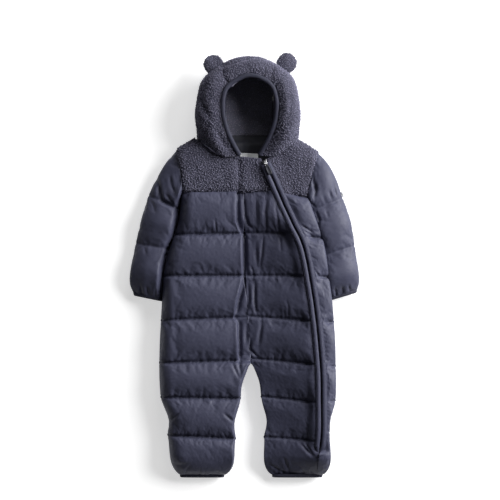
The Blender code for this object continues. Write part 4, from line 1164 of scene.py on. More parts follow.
def copies(name, groups, finish):
    """One piece from groups of copies: a template, then a place and three axes for each copy."""
    all_points, all_corners, all_sizes, heights = [], [], [], []
    start = 0
    for (points, corners, sizes), places, axes in groups:
        turned = np.einsum("pk,nkd->npd", points, axes) + places[:, None, :]
        all_points.append(turned.reshape(-1, 3))
        offsets = np.arange(len(places), dtype=np.int32)[:, None] * len(points) + start
        all_corners.append((corners[None, :] + offsets).ravel())
        all_sizes.append(np.tile(sizes, len(places)))
        heights.append(np.tile(np.clip(points[:, 2] / CURL_TOP, 0, 1), len(places)))
        start += len(places) * len(points)
    points = np.concatenate(all_points)
    points[:, 2] = np.maximum(points[:, 2], 0.0)
    sizes = np.concatenate(all_sizes)
    mesh = bpy.data.meshes.new(name)
    mesh.vertices.add(len(points))
    mesh.loops.add(int(sizes.sum()))
    mesh.polygons.add(len(sizes))
    mesh.loops.foreach_set("vertex_index", np.concatenate(all_corners).astype(np.int32))
    mesh.polygons.foreach_set("loop_start", (np.cumsum(sizes) - sizes).astype(np.int32))
    set_coordinates(mesh, points)
    mesh.validate()
    mesh.attributes.new("pile_height", "FLOAT", "POINT").data.foreach_set(
        "value", np.concatenate(heights).astype(np.float32))
    return mesh_piece(name, mesh, finish)


def pile_piece(name, roots, directions, scales, finish, seed):
    """Copies of the curls on the roots, along the directions, as one piece."""
    source = np.random.default_rng(seed)
    groups = []
    kinds = source.integers(0, len(CURLS), len(roots))
    turns = source.uniform(0, 2 * np.pi, len(roots))
    leans = source.normal(0, CURL_LEAN, (len(roots), 3))
    for kind, template in enumerate(CURLS):
        chosen = np.nonzero(kinds == kind)[0]
        up = directions[chosen] + leans[chosen]
        up /= np.linalg.norm(up, axis=1, keepdims=True)
        turn = turns[chosen]
        side = np.cross(up, np.stack([np.cos(turn), np.sin(turn), np.full(len(turn), 0.31)], 1))
        side /= np.linalg.norm(side, axis=1, keepdims=True)
        scale = (scales[chosen] * source.uniform(*CURL_SIZES, len(chosen)))[:, None, None]
        groups.append((template, roots[chosen], np.stack([side, np.cross(up, side), up], 1) * scale))
    return copies(name, groups, finish)


def scattered(bm, spacing, seed, keep=None):
    """Points and normals spread evenly over a mesh's faces, about one for each spacing squared.

    keep(face) gives the share of them that a face takes.
    """
    source = random.Random(seed)
    roots, directions = [], []
    owed = 0.0
    for face in bm.faces:
        density = keep(face) if keep else 1.0
        owed += density * face.calc_area() / spacing ** 2
        corners = [vertex.co for vertex in face.verts]
        while owed > 0:
            owed -= 1.0
            if owed < -0.999 and source.random() > 0.5:
                continue
            a, b = source.random(), source.random()
            top = corners[0].lerp(corners[1], a)
            low = corners[-1].lerp(corners[-2], a)
            roots.append(top.lerp(low, b))
            directions.append(face.normal.copy())
    return np.array(roots), np.array(directions)


# %% Walls
def walled(bm, wall):
    """Give an open sheet its thickness: a second layer behind it, joined to it round the rim."""
    bm.normal_update()
    behind = {vertex: vertex.co - vertex.normal * wall for vertex in bm.verts}
    made = bmesh.ops.duplicate(bm, geom=bm.verts[:] + bm.edges[:] + bm.faces[:])
    for vertex, place in behind.items():
        made["vert_map"][vertex].co = place
    bmesh.ops.reverse_faces(bm, faces=[part for part in made["geom"] if isinstance(part, bmesh.types.BMFace)])
    bmesh.ops.bridge_loops(bm, edges=open_edges(bm))


# %% [markdown]
# ### A fleece panel
#
# Each panel is a real sheet: the surface of the construction solid, moved in by the height of the
# pile, with a wall a few millimetres thick. Its edges sink a little where it is sewn to the next
# one, and a slow noise keeps the cloth from looking pressed.

# %% Fleece panels
UNEVENNESS = (
    # how far the cloth strays, and how fine that is
    (0.0011, 34.0), (0.0006, 80.0),
)
EDGE_SINK = 0.0017  # how far a sewn edge sinks
LOWEST = 0.0004  # the cloth is held this far above the table
RESTING_SCALE, RESTING_LEAN = 0.7, 0.3  # pile that lies on the table is shorter and pressed aside


def sunk_place(vertex, depth, edges, sink_way):
    """Where a point of the cloth goes: in by the pile's height, and deeper beside a sewn edge."""
    sink = depth
    for height, fineness in UNEVENNESS:
        sink += height * noise.noise(vertex.co * fineness)
    for layer, end, reach in edges:
        sink += EDGE_SINK * math.exp(-((vertex[layer] - end) / reach) ** 2)
    place = vertex.co + sink_way * sink if sink_way else vertex.co - vertex.normal * sink
    place.z = max(place.z, LOWEST)
    return place


def fleece_panel(name, nodes, place, columns, rows, inside, finish, flat, area, seed,
                 depth=0.0030, wall=0.0030, pile=1.0, spacing=0.0026, sunk=(), keep=None,
                 sink_way=None, folds=()):
    """A fleece sheet with its pile; inside(point) gives a place on the side away from the pile."""
    bm = grid_mesh(columns, rows, place)
    bm.normal_update()
    pile_side = sum((face.calc_center_median() - inside(face.calc_center_median())).dot(face.normal)
                    for face in bm.faces)
    if pile_side < 0:
        bmesh.ops.reverse_faces(bm, faces=bm.faces[:])
        bm.normal_update()
    edges = [(bm.verts.layers.float[way], end, reach) for way, end, reach in sunk]
    moved = [sunk_place(vertex, depth, edges, sink_way) for vertex in bm.verts]
    for vertex, place_now in zip(bm.verts, moved):
        vertex.co = place_now
    bm.normal_update()
    if folds:
        points = np.array([vertex.co[:] for vertex in bm.verts])
        facing_up = np.array([smooth_step(vertex.normal.z / 0.4) for vertex in bm.verts])
        pressed = facing_up * sum(crease_depth(points, *fold) for fold in folds)
        for vertex, step in zip(bm.verts, pressed):
            vertex.co += vertex.normal * step
        bm.normal_update()
    cloth_area = sum(face.calc_area() for face in bm.faces)
    roots, directions = scattered(bm, spacing, seed, keep)
    scales = np.full(len(roots), pile)
    resting = (directions[:, 2] < -0.6) & (roots[:, 2] < 0.004)
    scales[resting] *= RESTING_SCALE
    directions[resting, 2] *= RESTING_LEAN
    directions /= np.linalg.norm(directions, axis=1, keepdims=True)
    pile_made = pile_piece(name + "_pile", roots, directions, scales, finish, seed)
    walled(bm, wall)
    for vertex in bm.verts:
        vertex.co.z = max(vertex.co.z, LOWEST / 2)
    face_outwards(bm)
    piece = add_piece(name, bm, finish, nodes=nodes)
    print(name, "area, square metres:", round(cloth_area, 4), "cut:", area)


# %% [markdown]
# ## The hood
#
# The hood stands open: two sides and a centre strip that runs from the brow over the crown and down
# to the nape. Each half is a table of sections, from the neck seam round to the crown, and each
# section runs from the rim of the face over the ridge and the outer side to the table. Smooth
# curves through the sections both ways give the surface.

# %% Sections of the hood
HOOD_MIDDLE_X = 0.0070
FACE_MIDDLE_X = 0.0104
HOOD_SECTIONS = [
    # rim (out, y, z), ridge (out, y, z), side (out, y, z), ground (out, y), strip (out, y)
    ((0.0220, 0.2060, 0.0490), (0.0520, 0.2060, 0.0530), (0.0980, 0.2370, 0.0250),
     (0.0760, 0.2380), (0.0455, 0.2310)),
    ((0.0455, 0.2475, 0.0620), (0.0690, 0.2450, 0.0700), (0.0997, 0.2600, 0.0380),
     (0.0750, 0.2610), (0.0465, 0.2620)),
    ((0.0563, 0.2950, 0.0740), (0.0745, 0.2960, 0.0800), (0.1012, 0.2950, 0.0410),
     (0.0750, 0.2950), (0.0475, 0.2950)),
    ((0.0505, 0.3330, 0.0790), (0.0680, 0.3400, 0.0830), (0.0890, 0.3530, 0.0420),
     (0.0690, 0.3400), (0.0485, 0.3250)),
    ((0.0395, 0.3470, 0.0798), (0.0460, 0.3650, 0.0790), (0.0510, 0.3870, 0.0420),
     (0.0500, 0.3620), (0.0490, 0.3480)),
]
RIGHT_DROOP = [0.0, 0.0, 0.0, 0.0040, 0.0110]  # the crown has sunk a little on the right half
RIGHT_LIFT = [0.0, 0.0045, 0.0050, 0.0030, 0.0]  # and its rim stands a little higher
CROWN_RIM, CROWN_RIDGE = (0.3625, 0.0805), (0.3760, 0.0780)
CROWN_SIDE, CROWN_GROUND = (0.3985, 0.0400), (0.3740, 0.0)
CROWN_FACING, NAPE = (0.2950, 0.0), (0.2290, 0.0)
STRIP_FACING_OUT = 0.0475  # half the strip's width where it lies on the table
QUARTER = math.sin(math.pi / 4)


def rounded_profile(rim, ridge, side, ground):
    """Points from the rim to the ground, with a quarter ellipse above the side and one below it."""
    shoulder = ridge.lerp(side, QUARTER)
    shoulder.z = ridge.z + (side.z - ridge.z) * (1 - QUARTER)
    under = side.lerp(ground, 1 - QUARTER)
    under.z = side.z * (1 - QUARTER)
    return [rim, ridge, shoulder, side, under, ground]


def hood_section(number, half):
    rim, ridge, side, ground, strip = HOOD_SECTIONS[number]
    droop, lift = (RIGHT_DROOP[number], RIGHT_LIFT[number]) if half < 0 else (0.0, 0.0)
    profile = rounded_profile(
        Vector((FACE_MIDDLE_X + half * rim[0], rim[1] - droop / 3, rim[2] + lift)),
        Vector(((FACE_MIDDLE_X + HOOD_MIDDLE_X) / 2 + half * ridge[0], ridge[1] - droop, ridge[2])),
        Vector((HOOD_MIDDLE_X + half * side[0], side[1] - droop / 3, side[2])),
        Vector((HOOD_MIDDLE_X + half * ground[0], ground[1] - droop / 3, 0.0)))
    return profile + [Vector((HOOD_MIDDLE_X + half * strip[0], strip[1] - droop / 3, 0.0))]


def surface(sections):
    """A function of across (from the first section to the last) and down (along a section)."""
    def place(across, down):
        row = [spline_point(section, down * (len(section) - 1)) for section in sections]
        point = spline_point(row, across * (len(row) - 1))
        return Vector((point.x, point.y, max(point.z, 0.0)))
    return place


def strip_sections():
    """Five sections of the centre strip: both its seams, its middle line, and one between on each side."""
    facing = Vector((HOOD_MIDDLE_X, *CROWN_FACING))
    middle = rounded_profile(
        Vector((FACE_MIDDLE_X, *CROWN_RIM)), Vector((HOOD_MIDDLE_X + 0.0017, *CROWN_RIDGE)),
        Vector((HOOD_MIDDLE_X, *CROWN_SIDE)), Vector((HOOD_MIDDLE_X, *CROWN_GROUND)))
    middle += [middle[-1].lerp(facing, 0.2), facing, Vector((HOOD_MIDDLE_X, *NAPE))]
    outer, between = [], []
    for half in (-1, 1):
        section = hood_section(4, half)
        for out, y in ((STRIP_FACING_OUT, CROWN_FACING[0]), HOOD_SECTIONS[0][4]):
            section.append(Vector((HOOD_MIDDLE_X + half * out, y, 0.0)))
        line = [here.lerp(there, 0.25) for here, there in zip(middle, section)]
        for point, here, there in zip(line, middle, section):
            point.x = (here.x + there.x) / 2
        outer.append(section)
        between.append(line)
    return [outer[0], between[0], middle, between[1], outer[1]]


HOOD = {
    "side_right": surface([hood_section(number, -1) for number in range(5)]),
    "side_left": surface([hood_section(number, 1) for number in range(5)]),
    "centre": surface(strip_sections()),
}
HOOD_HEART = Vector((0.0080, 0.2930, 0.0400))
print("crown, mm:", [round(1000 * value, 1) for value in HOOD["centre"](0.5, 0.375)])

# %% The hood's outer panels
HOOD_PANELS = {
    # flat size, area, ends that sink where they are sewn, and folds (a line of plan points, width, depth)
    "side_right": ((0.190, 0.175), 0.0215, [("across", 1.0, 0.035)], [
        ([(-0.0663, 0.3471), (-0.0790, 0.3300), (-0.0800, 0.3100), (-0.0730, 0.2900), (-0.0638, 0.2791)],
         0.0070, 0.0048),
        ([(-0.0560, 0.2640), (-0.0420, 0.2330), (-0.0250, 0.2150)], 0.0080, 0.0030),
    ]),
    "side_left": ((0.190, 0.180), 0.0220, [("across", 1.0, 0.035)], [
        ([(0.0905, 0.3150), (0.0880, 0.2900), (0.0800, 0.2650)], 0.0090, 0.0030),
    ]),
    "centre": ((0.100, 0.260), 0.0245, [("across", 0.0, 0.06), ("across", 1.0, 0.06)], [
        ([(-0.0440, 0.3720), (-0.0239, 0.3815), (0.0004, 0.3890), (0.0245, 0.3950)], 0.0060, 0.0080),
    ]),
}


def hood_density(face):
    """Less pile under the hood, where it lies on the table."""
    return 0.45 if face.normal.z < -0.7 else 1.0


for number, (name, (flat, area, sunk, folds)) in enumerate(HOOD_PANELS.items()):
    fleece_panel(f"hood_{name}_fleece", ("hood_" + name,), HOOD[name], 40, 56, lambda point: HOOD_HEART,
                 FLEECE, flat, area, 40 + number, sunk=sunk, keep=hood_density, folds=folds)


# %% The hood's lining
LINING_DEPTH = 0.0088
BRIM_PLACE = 0.06  # the lining stands in most at this share of the way down, under the face binding
BRIM_RISE = 0.16
LINING_FOLD = ([(-0.0420, 0.2926), (0.0450, 0.2926)], 0.0060, 0.0030, "whole")
LININGS = {
    # node, flat size, area, how far it stands in behind the binding, where it starts and ends, folds
    "side_right": ("lining_right", (0.165, 0.155), 0.0168, 0.0100, (0.05, 1.0), []),
    "side_left": ("lining_left", (0.165, 0.155), 0.0170, 0.0085, (0.05, 1.0), []),
    "centre": ("lining_centre", (0.085, 0.260), 0.0208, 0.0170, (0.05, 0.97), [LINING_FOLD]),
}


def surface_normal(place, across, down, step=0.004):
    a = place(min(across + step, 1.0), down) - place(max(across - step, 0.0), down)
    b = place(across, min(down + step, 1.0)) - place(across, max(down - step, 0.0))
    return a.cross(b).normalized()


def lining_place(outer, brim, first, last):
    """The lining's surface: the hood's, moved in by its wall. It starts behind the binding."""
    inwards = math.copysign(1.0, surface_normal(outer, 0.5, 0.5).dot(HOOD_HEART - outer(0.5, 0.5)))

    def place(across, down):
        bulge = brim * math.exp(-((down - BRIM_PLACE) / BRIM_PLACE) ** 2)
        down = first + (last - first) * down
        point = outer(across, down)
        normal = inwards * surface_normal(outer, across, down)
        inward = Vector((FACE_MIDDLE_X - point.x, 0.290 - point.y, 0.0)).normalized()
        return point + normal * LINING_DEPTH + inward * bulge + Vector((0, 0, BRIM_RISE * bulge))
    return place


for number, (name, (node, flat, area, brim, ends, folds)) in enumerate(LININGS.items()):
    fleece_panel(node + "_fleece", (node,), lining_place(HOOD[name], brim, *ends), 30, 40,
                 lambda point: point + (point - HOOD_HEART), LINING, flat, area, 50 + number,
                 depth=0.0, wall=0.0012, pile=0.85, spacing=0.0036, folds=folds)

# %% [markdown]
# ## Yokes and ears
#
# Two fleece fronts and one fleece back join the hood to the quilted body. The fronts are sheets
# that lie over the wadding of the chest, so their surface is full in the middle and sinks to the
# armholes, to the neck and to the straight seam below. The back yoke is pressed flat by the weight
# of the suit and turns up at its sides.

# %% Front yokes
YOKE_THICKNESS = 0.0205
YOKE_SWELL = 0.0015  # how much fuller its middle is
NECK_FRONT_Y = 0.2025
NECK_TUCK = (0.0050, 0.055, 0.030)  # rise of the neck edge at a shoulder, where it starts, its reach
YOKE_PAST_SEAM = 0.0015  # how far it reaches over the seam below
ZIP_SLOPE = 0.020  # a yoke rises over this length beside the zip
SHOULDERS = {"right": Vector((-0.1285, 0.2220)), "left": Vector((0.1418, 0.2148))}


def neck_line(side):
    """Plan points where a front meets the hood, from the shoulder to the chin."""
    most, start, reach = NECK_TUCK
    line = []
    for step in range(60, -1, -1):
        point = HOOD["side_" + side](0.0, step / 60 * 0.5)
        rise = most * smooth_step((abs(point.x - HOOD_MIDDLE_X) - start) / reach)
        if point.z > MIDDLE:
            line.append(Vector((point.x, point.y + rise)))
    return line


def on_path(points, share):
    """A point at a share of a path's length."""
    lengths = [(b - a).length for a, b in zip(points, points[1:])]
    wanted = share * sum(lengths)
    for (a, b), length in zip(zip(points, points[1:]), lengths):
        if wanted <= length:
            return a.lerp(b, wanted / length)
        wanted -= length
    return points[-1]


def yoke_place(side):
    """The surface of a front yoke, from its armhole to the zip and from its neck edge down."""
    half, column = (-1, 0) if side == "right" else (1, 1)
    shoulder = SHOULDERS[side]
    neck = neck_line(side)
    upper_end = Vector((zip_x(NECK_FRONT_Y) + half * ZIP_GAP, NECK_FRONT_Y))
    beside_neck = [point for point in neck if side == "right" or point.x > upper_end.x + 0.010]
    upper = [shoulder, *beside_neck, upper_end]
    end_y = ZIP_SEAMS[0][column] - YOKE_PAST_SEAM
    end = Vector((zip_x(end_y) + half * ZIP_GAP, end_y))
    arm_edge = RIGHT_SIDE[0] if side == "right" else LEFT_SIDE[0]
    armhole = Vector((arm_edge[0], arm_edge[1] - YOKE_PAST_SEAM))
    run = (neck[0] - shoulder).normalized()

    def place(across, down):
        above = on_path(upper, across)
        below = on_path([armhole, end], across)
        point = above.lerp(below, down)
        zip_edge_x = zip_x(point.y) + half * ZIP_GAP
        arm_x = shoulder.x + (armhole.x - shoulder.x) * down
        plain_end = upper_end.lerp(end, down).x
        point.x = arm_x + (point.x - arm_x) * (zip_edge_x - arm_x) / (plain_end - arm_x)
        beyond = min(max((point - shoulder).dot(run), -0.03), (neck[0] - shoulder).length)
        profile = rounding((point - shoulder - run * beyond).length, SIDE_ROUNDING)
        profile *= rounding(abs(point.x - arm_x), SEAM_ROUNDING, CENTRE_SEAM_SHARE)
        profile *= rounding((1 - down) * (above.y - below.y), SEAM_ROUNDING, YOKE_SEAM_SHARE)
        height = EDGE_THICKNESS + (YOKE_THICKNESS + YOKE_SWELL - EDGE_THICKNESS) * profile
        near_zip = smooth_step((abs(point.x - zip_edge_x) + ZIP_GAP - ZIP_FLAT) / ZIP_SLOPE)
        height = ZIP_THICKNESS + (height - ZIP_THICKNESS) * near_zip
        return Vector((point.x, point.y, MIDDLE + height))
    return place


YOKES = {
    # flat size, area, columns, folds
    "right": ((0.190, 0.105), 0.0150, 44, [
        ([(-0.0103, 0.1960), (-0.0095, 0.1640), (-0.0103, 0.1431)], 0.0080, 0.0032, "whole"),
    ]),
    "left": ((0.095, 0.115), 0.0082, 24, []),
}
PILE_FROM_ZIP = 0.0115


def beside_zip(face):
    """No pile under the welts of the zip."""
    middle = face.calc_center_median()
    return 0.0 if abs(middle.x - zip_x(middle.y)) < PILE_FROM_ZIP else 1.0


for number, (side, (flat, area, columns, folds)) in enumerate(YOKES.items()):
    fleece_panel(f"yoke_front_{side}_fleece", ("yoke_front_" + side,), yoke_place(side), columns, 26,
                 lambda point: point - Vector((0, 0, 1)), FLEECE, flat, area, 61 + number,
                 sunk=(("across", 0.0, 0.04), ("down", 1.0, 0.03)),
                 sink_way=Vector((0, 0, -1)), keep=beside_zip, folds=folds)

# %% Back yoke
BACK_EDGE = 0.0205
BACK_NECK = [
    # x, y of the back yoke's neck edge between the shoulders
    (-0.0930, 0.2372), (-0.0690, 0.2390), (-0.0385, 0.2288), (HOOD_MIDDLE_X, NAPE[0] - 0.0022),
    (0.0525, 0.2288), (0.0830, 0.2390), (0.1070, 0.2372),
]
BACK_UPPER = [SHOULDERS["right"], *(Vector(row) for row in BACK_NECK), SHOULDERS["left"]]
BACK_LOWER = [Vector(edge[0][:2]) for edge in (RIGHT_SIDE, RIGHT_INNER, LEFT_SIDE)]
SHOULDER_SPAN = (-0.088, 0.102)  # x past which the upper edge is a shoulder seam


def back_yoke_place(across, down):
    """Flat on the table, and turned up at the shoulders and the armholes."""
    above = on_path(BACK_UPPER, across)
    point = above.lerp(on_path(BACK_LOWER, across), down)
    from_arm = min(across, 1 - across) * 0.26
    on_shoulder = above.x < SHOULDER_SPAN[0] or above.x > SHOULDER_SPAN[1]
    from_shoulder = down * 0.09 + (0.0 if on_shoulder else 0.03)
    profile = rounding(from_arm, 0.016) * rounding(from_shoulder, 0.020)
    return Vector((point.x, point.y, BACK_EDGE * (1 - profile)))


fleece_panel("yoke_back_fleece", ("yoke_back",), back_yoke_place, 64, 26,
             lambda point: point + Vector((0, 0, 1)), FLEECE, (0.285, 0.110), 0.0280, 63,
             depth=0.0028, spacing=0.0036,
             sunk=(("down", 0.0, 0.03), ("down", 1.0, 0.03)), sink_way=Vector((0, 0, 1)))

# %% [markdown]
# ### Ears
#
# An ear is two round pieces of fleece sewn together and turned out, caught flat in the hood's seam.
# It starts as a flattened sphere, is cut straight where the seam holds it, and its base is widened
# and the rest gently waved before the pile goes on.

# %% Two ears
EAR_RADIUS = 0.0200
EAR_THICKNESS = 0.0130
EAR_PILE = 0.0022  # the cloth is this much smaller than the ear, for its pile
EAR_CUT = -0.0155  # where the seam cuts it straight, from its middle
EAR_HEIGHT = 0.0470
EAR_TILT = 12.0  # degrees that its outer end hangs down
EARS = [
    # side, x, y, direction away from the hood in degrees
    ("right", -0.0590, 0.3810, 127.0), ("left", 0.0820, 0.3842, 48.0),
]


def ear(side, x, y, facing, seed):
    bm = bmesh.new()
    radius = EAR_RADIUS - EAR_PILE
    bmesh.ops.create_uvsphere(bm, u_segments=28, v_segments=14, radius=radius)
    bmesh.ops.scale(bm, vec=(1, 1, (EAR_THICKNESS / 2 - 0.0018) / radius), verts=bm.verts[:])
    bmesh.ops.bisect_plane(bm, geom=bm.verts[:] + bm.edges[:] + bm.faces[:], dist=1e-6,
                           plane_co=(EAR_CUT, 0, 0), plane_no=(1, 0, 0), clear_inner=True)
    for vertex in bm.verts:
        pinch = smooth_step((0.002 - vertex.co.x) / 0.014)
        vertex.co.z += 0.0015 * math.sin(vertex.co.y * 190) * (1 - pinch)
        straight = math.sqrt(max(1 - (min(vertex.co.x, 0.0) / EAR_RADIUS) ** 2, 0.16))
        vertex.co.y *= 1.03 / straight if vertex.co.x < 0 else 1.03
    bmesh.ops.contextual_create(bm, geom=open_edges(bm))
    turn = Matrix.Rotation(math.radians(facing), 4, "Z")
    tilt = Matrix.Rotation(math.radians(EAR_TILT), 4, "Y")
    bmesh.ops.transform(bm, matrix=Matrix.Translation((x, y, EAR_HEIGHT)) @ turn @ tilt, verts=bm.verts[:])
    face_outwards(bm)
    bm.normal_update()
    roots, directions = scattered(bm, 0.0026, seed)
    pile_piece(f"ear_{side}_pile", roots, directions, np.full(len(roots), 0.90), FLEECE, seed)
    piece = add_piece(f"ear_{side}_fleece", bm, FLEECE, nodes=("ear_" + side,))


for number, row in enumerate(EARS):
    ear(*row, 70 + number)

# %% [markdown]
# ## Bindings, facing and label
#
# A soft elastic band is folded round the rim of the face. It is a tube with a flattened section
# that follows the rim, so a grid is rolled round the path. The path is evened out first, because
# elastic pulls corners round. Its ripples are uneven: elastic gathers cloth as it likes.


# %% Tubes along a path
def evened(points, times):
    """A path with its corners rounded: each point moves towards the middle of its neighbours."""
    for _ in range(times):
        inner = [here.lerp((before + after) / 2, 0.5)
                 for before, here, after in zip(points, points[1:], points[2:])]
        points = [points[0], *inner, points[-1]]
    return points


def path_frame(points, share, heart):
    """A place on a path, the direction across it towards a heart, and the direction up."""
    position = share * (len(points) - 1)
    place = spline_point(points, position)
    run = (spline_point(points, min(position + 0.3, len(points) - 1))
           - spline_point(points, max(position - 0.3, 0))).normalized()
    across = run.cross(Vector((0, 0, 1))).normalized()
    if across.dot(heart - place) < 0:
        across.negate()
    up = run.cross(across).normalized()
    if up.z < 0:
        up.negate()
    return place, across, up


# %% Face binding
BINDING_WIDTH = 0.0088
BINDING_HEIGHT = 0.0076
BINDING_DEPTH = 0.0022  # how far its middle lies below the rim
BINDING_SQUARE = 0.85
BINDING_RIPPLE = 0.050
BINDING_WANDER = 0.0007
rim = [HOOD["side_right"](step / 16, 0.0) for step in range(17)]
rim += [HOOD["centre"](step / 12, 0.0) for step in range(1, 12)]
rim += [HOOD["side_left"](1 - step / 16, 0.0) for step in range(17)]
RIM = evened(rim, 5)


def face_band(around, along):
    place, across, up = path_frame(RIM, along, HOOD_HEART)
    angle = 2 * math.pi * around
    ripple = noise.noise(Vector((along * 95, 2.0 * math.cos(angle), 7.0)))
    ripple += 0.6 * noise.noise(Vector((along * 210, 2.0 * math.sin(angle), 9.0)))
    bulge = 1 + BINDING_RIPPLE * ripple
    flat = squarish(math.cos(angle), BINDING_SQUARE) * BINDING_WIDTH / 2 * bulge
    rise = squarish(math.sin(angle), BINDING_SQUARE) * BINDING_HEIGHT / 2 * bulge
    wander = BINDING_WANDER * noise.noise(Vector((along * 17, 0.0, 1.0)))
    return place + across * (BINDING_WIDTH / 2 - 0.0006 + wander + flat) + up * (rise - BINDING_DEPTH)


bm = grid_mesh(16, 300, face_band, around=True)
for on_left in (False, True):
    end = [edge for edge in open_edges(bm) if (edge.verts[0].co.x > FACE_MIDDLE_X) == on_left]
    bmesh.ops.contextual_create(bm, geom=end)
face_outwards(bm)
add_piece("face_binding", bm, BINDING, nodes=("hood_binding",))
print("face binding, mm round:", round(1000 * sum((b - a).length for a, b in zip(RIM, RIM[1:]))))

# %% [markdown]
# ### Stitches
#
# A row of stitches is one short strand of thread copied along a line: 2.6 mm of thread showing,
# then a gap where it dips into the cloth. Each strand is a small cylinder with its ends bent down.


# %% Rows of stitches
def stitch_template(length, radius):
    bm = bmesh.new()
    bmesh.ops.create_cone(bm, segments=6, radius1=radius, radius2=radius, depth=length, cap_ends=True)
    bmesh.ops.rotate(bm, matrix=Matrix.Rotation(math.pi / 2, 3, "Y"), verts=bm.verts[:])
    bmesh.ops.bisect_plane(bm, geom=bm.verts[:] + bm.edges[:] + bm.faces[:],
                           plane_co=(0, 0, 0), plane_no=(1, 0, 0))
    for vertex in bm.verts:
        vertex.co.z -= 1.6 * radius * abs(vertex.co.x / (length / 2)) ** 2
    return template(bm)


STITCH = stitch_template(0.0027, 0.00032)
STITCH_PITCH = 0.0036
STITCH_LIFT = 0.0006  # a stitch lies this far above the cloth


def stitch_row(name, line, ups):
    """Stitches along a line of points; ups are the cloth's normals at the same points."""
    places, axes = [], []
    carried = STITCH_PITCH / 2
    for a, b, up in zip(line, line[1:], ups):
        length = (b - a).length
        run = (b - a).normalized()
        side = up.cross(run).normalized()
        while carried < length:
            places.append(a.lerp(b, carried / length))
            axes.append([run, side, run.cross(side)])
            carried += STITCH_PITCH
        carried -= length
    copies(name, [(STITCH, np.array(places), np.array(axes))], THREAD)


band_line, band_ups = [], []
for step in range(241):
    place, across, up = path_frame(RIM, 0.01 + 0.98 * step / 240, HOOD_HEART)
    band_line.append(place + across * 0.0011 + up * (BINDING_HEIGHT * 0.34 - BINDING_DEPTH + STITCH_LIFT))
    band_ups.append((up * 0.9 - across * 0.45).normalized())
stitch_row("face_binding_stitches", band_line, band_ups)

# %% [markdown]
# ### Facing, label and tab
#
# Inside the back neck a plain facing covers the seam between hood and body. It is one thin sheet
# that follows the lining down to the back yoke, with shallow waves from the pull of the neck seam.
# The label on it is left bare, a folded satin strip sewn down at its top corners. A short folded
# tape stands out of the left sleeve.

# %% Thin sheets
LINING_TOP = 0.0101
BACK_YOKE_HEIGHT = 0.0210
FACING_TOP_Y, FACING_BOTTOM_Y = 0.2475, 0.1980
FACING_PROFILE = [Vector(row) for row in (
    # y, height
    (FACING_TOP_Y, LINING_TOP + 0.0010), (0.2380, LINING_TOP + 0.0045), (0.2300, BACK_YOKE_HEIGHT + 0.0012),
    (0.2150, BACK_YOKE_HEIGHT + 0.0014), (FACING_BOTTOM_Y, BACK_YOKE_HEIGHT + 0.0008),
)]
FACING_ENDS = (-0.0310, 0.0500)
FACING_LIFT = 0.0050  # how far its ends turn up
LABEL_WIDTH, LABEL_HEIGHT = 0.0345, 0.0125
LABEL_X, LABEL_Y = -0.0080, 0.2132  # its upper corner on the wearer's right
TAB_X, TAB_Y, TAB_Z = 0.1886, 0.1345, 0.0200
TAB_TURN = math.radians(22)
TAB_WIDTH = 0.0100


def facing_place(across, down):
    y, z = spline_point(FACING_PROFILE, down * (len(FACING_PROFILE) - 1))
    x = FACING_ENDS[0] + (FACING_ENDS[1] - FACING_ENDS[0]) * across
    wave = 0.0011 * noise.noise(Vector((x * 75, y * 22, 4.0)))
    wave += 0.0005 * noise.noise(Vector((x * 190, y * 60, 8.0)))
    return Vector((x, y, z + 0.0006 + wave + FACING_LIFT * (2 * across - 1) ** 4))


def label_place(across, down):
    """It follows the facing, and its free lower edge stands off it."""
    x = LABEL_X + LABEL_WIDTH * across
    y = LABEL_Y - LABEL_HEIGHT * down - 0.0016 * across
    share = (FACING_TOP_Y - y) / (FACING_TOP_Y - FACING_BOTTOM_Y)
    under = facing_place((x - FACING_ENDS[0]) / (FACING_ENDS[1] - FACING_ENDS[0]), share)
    lift = 0.0022 + 0.0016 * smooth_step(down) + 0.0006 * math.sin(9 * across + 1.0) * down
    return Vector((x, y, max(under.z, BACK_YOKE_HEIGHT + 0.0010) + lift))


def tab_place(across, down):
    """A tape folded in half: down runs from one cut end round the fold to the other."""
    angle = math.pi * (down - 0.5)
    out = 0.0052 * math.cos(angle) ** 0.5 if abs(down - 0.5) < 0.5 else 0.0
    x, y = out - 0.0026, TAB_WIDTH * (across - 0.5)
    return Vector((TAB_X + x * math.cos(TAB_TURN) - y * math.sin(TAB_TURN),
                   TAB_Y + x * math.sin(TAB_TURN) + y * math.cos(TAB_TURN),
                   TAB_Z + 0.0012 * math.sin(angle)))


def thin_sheet(name, node, place, columns, rows, thickness, finish):
    bm = grid_mesh(columns, rows, place)
    bmesh.ops.solidify(bm, geom=bm.faces[:], thickness=thickness)
    face_outwards(bm)
    piece = add_piece(name, bm, finish, nodes=(node,))


thin_sheet("back_neck_facing", "neck_facing", facing_place, 54, 36, 0.0008, FACING)
thin_sheet("bare_label", "neck_label", label_place, 28, 12, 0.0003, LABEL)
thin_sheet("sleeve_tape_tab", "sleeve_tab", tab_place, 10, 16, 0.0003, LABEL)

# %% [markdown]
# ## The zip
#
# The zip lies along the crest of the body between two corded welts, which almost meet over it. Each
# tape is a thin woven strip. The coil is one small arched tooth copied along the line, a little over
# a millimetre apart and turned every second time, as a coil's loops are. A welt is a rounded tube
# with a flat bottom, and a row of stitches sinks a groove along its outer edge.

# %% The zip's ground
ZIP_TOP_Y = 0.1985
ZIP_BOTTOM_Y = -0.3560
TAPE_FROM, TAPE_TO = 0.0002, 0.0062  # a tape's edges, from the zip's line
TAPE_DEPTH = 0.0024
WELT_WIDTH = 0.0090
WELT_HEIGHT = 0.0034
ZIP_UP = Vector((0, 0, 1))


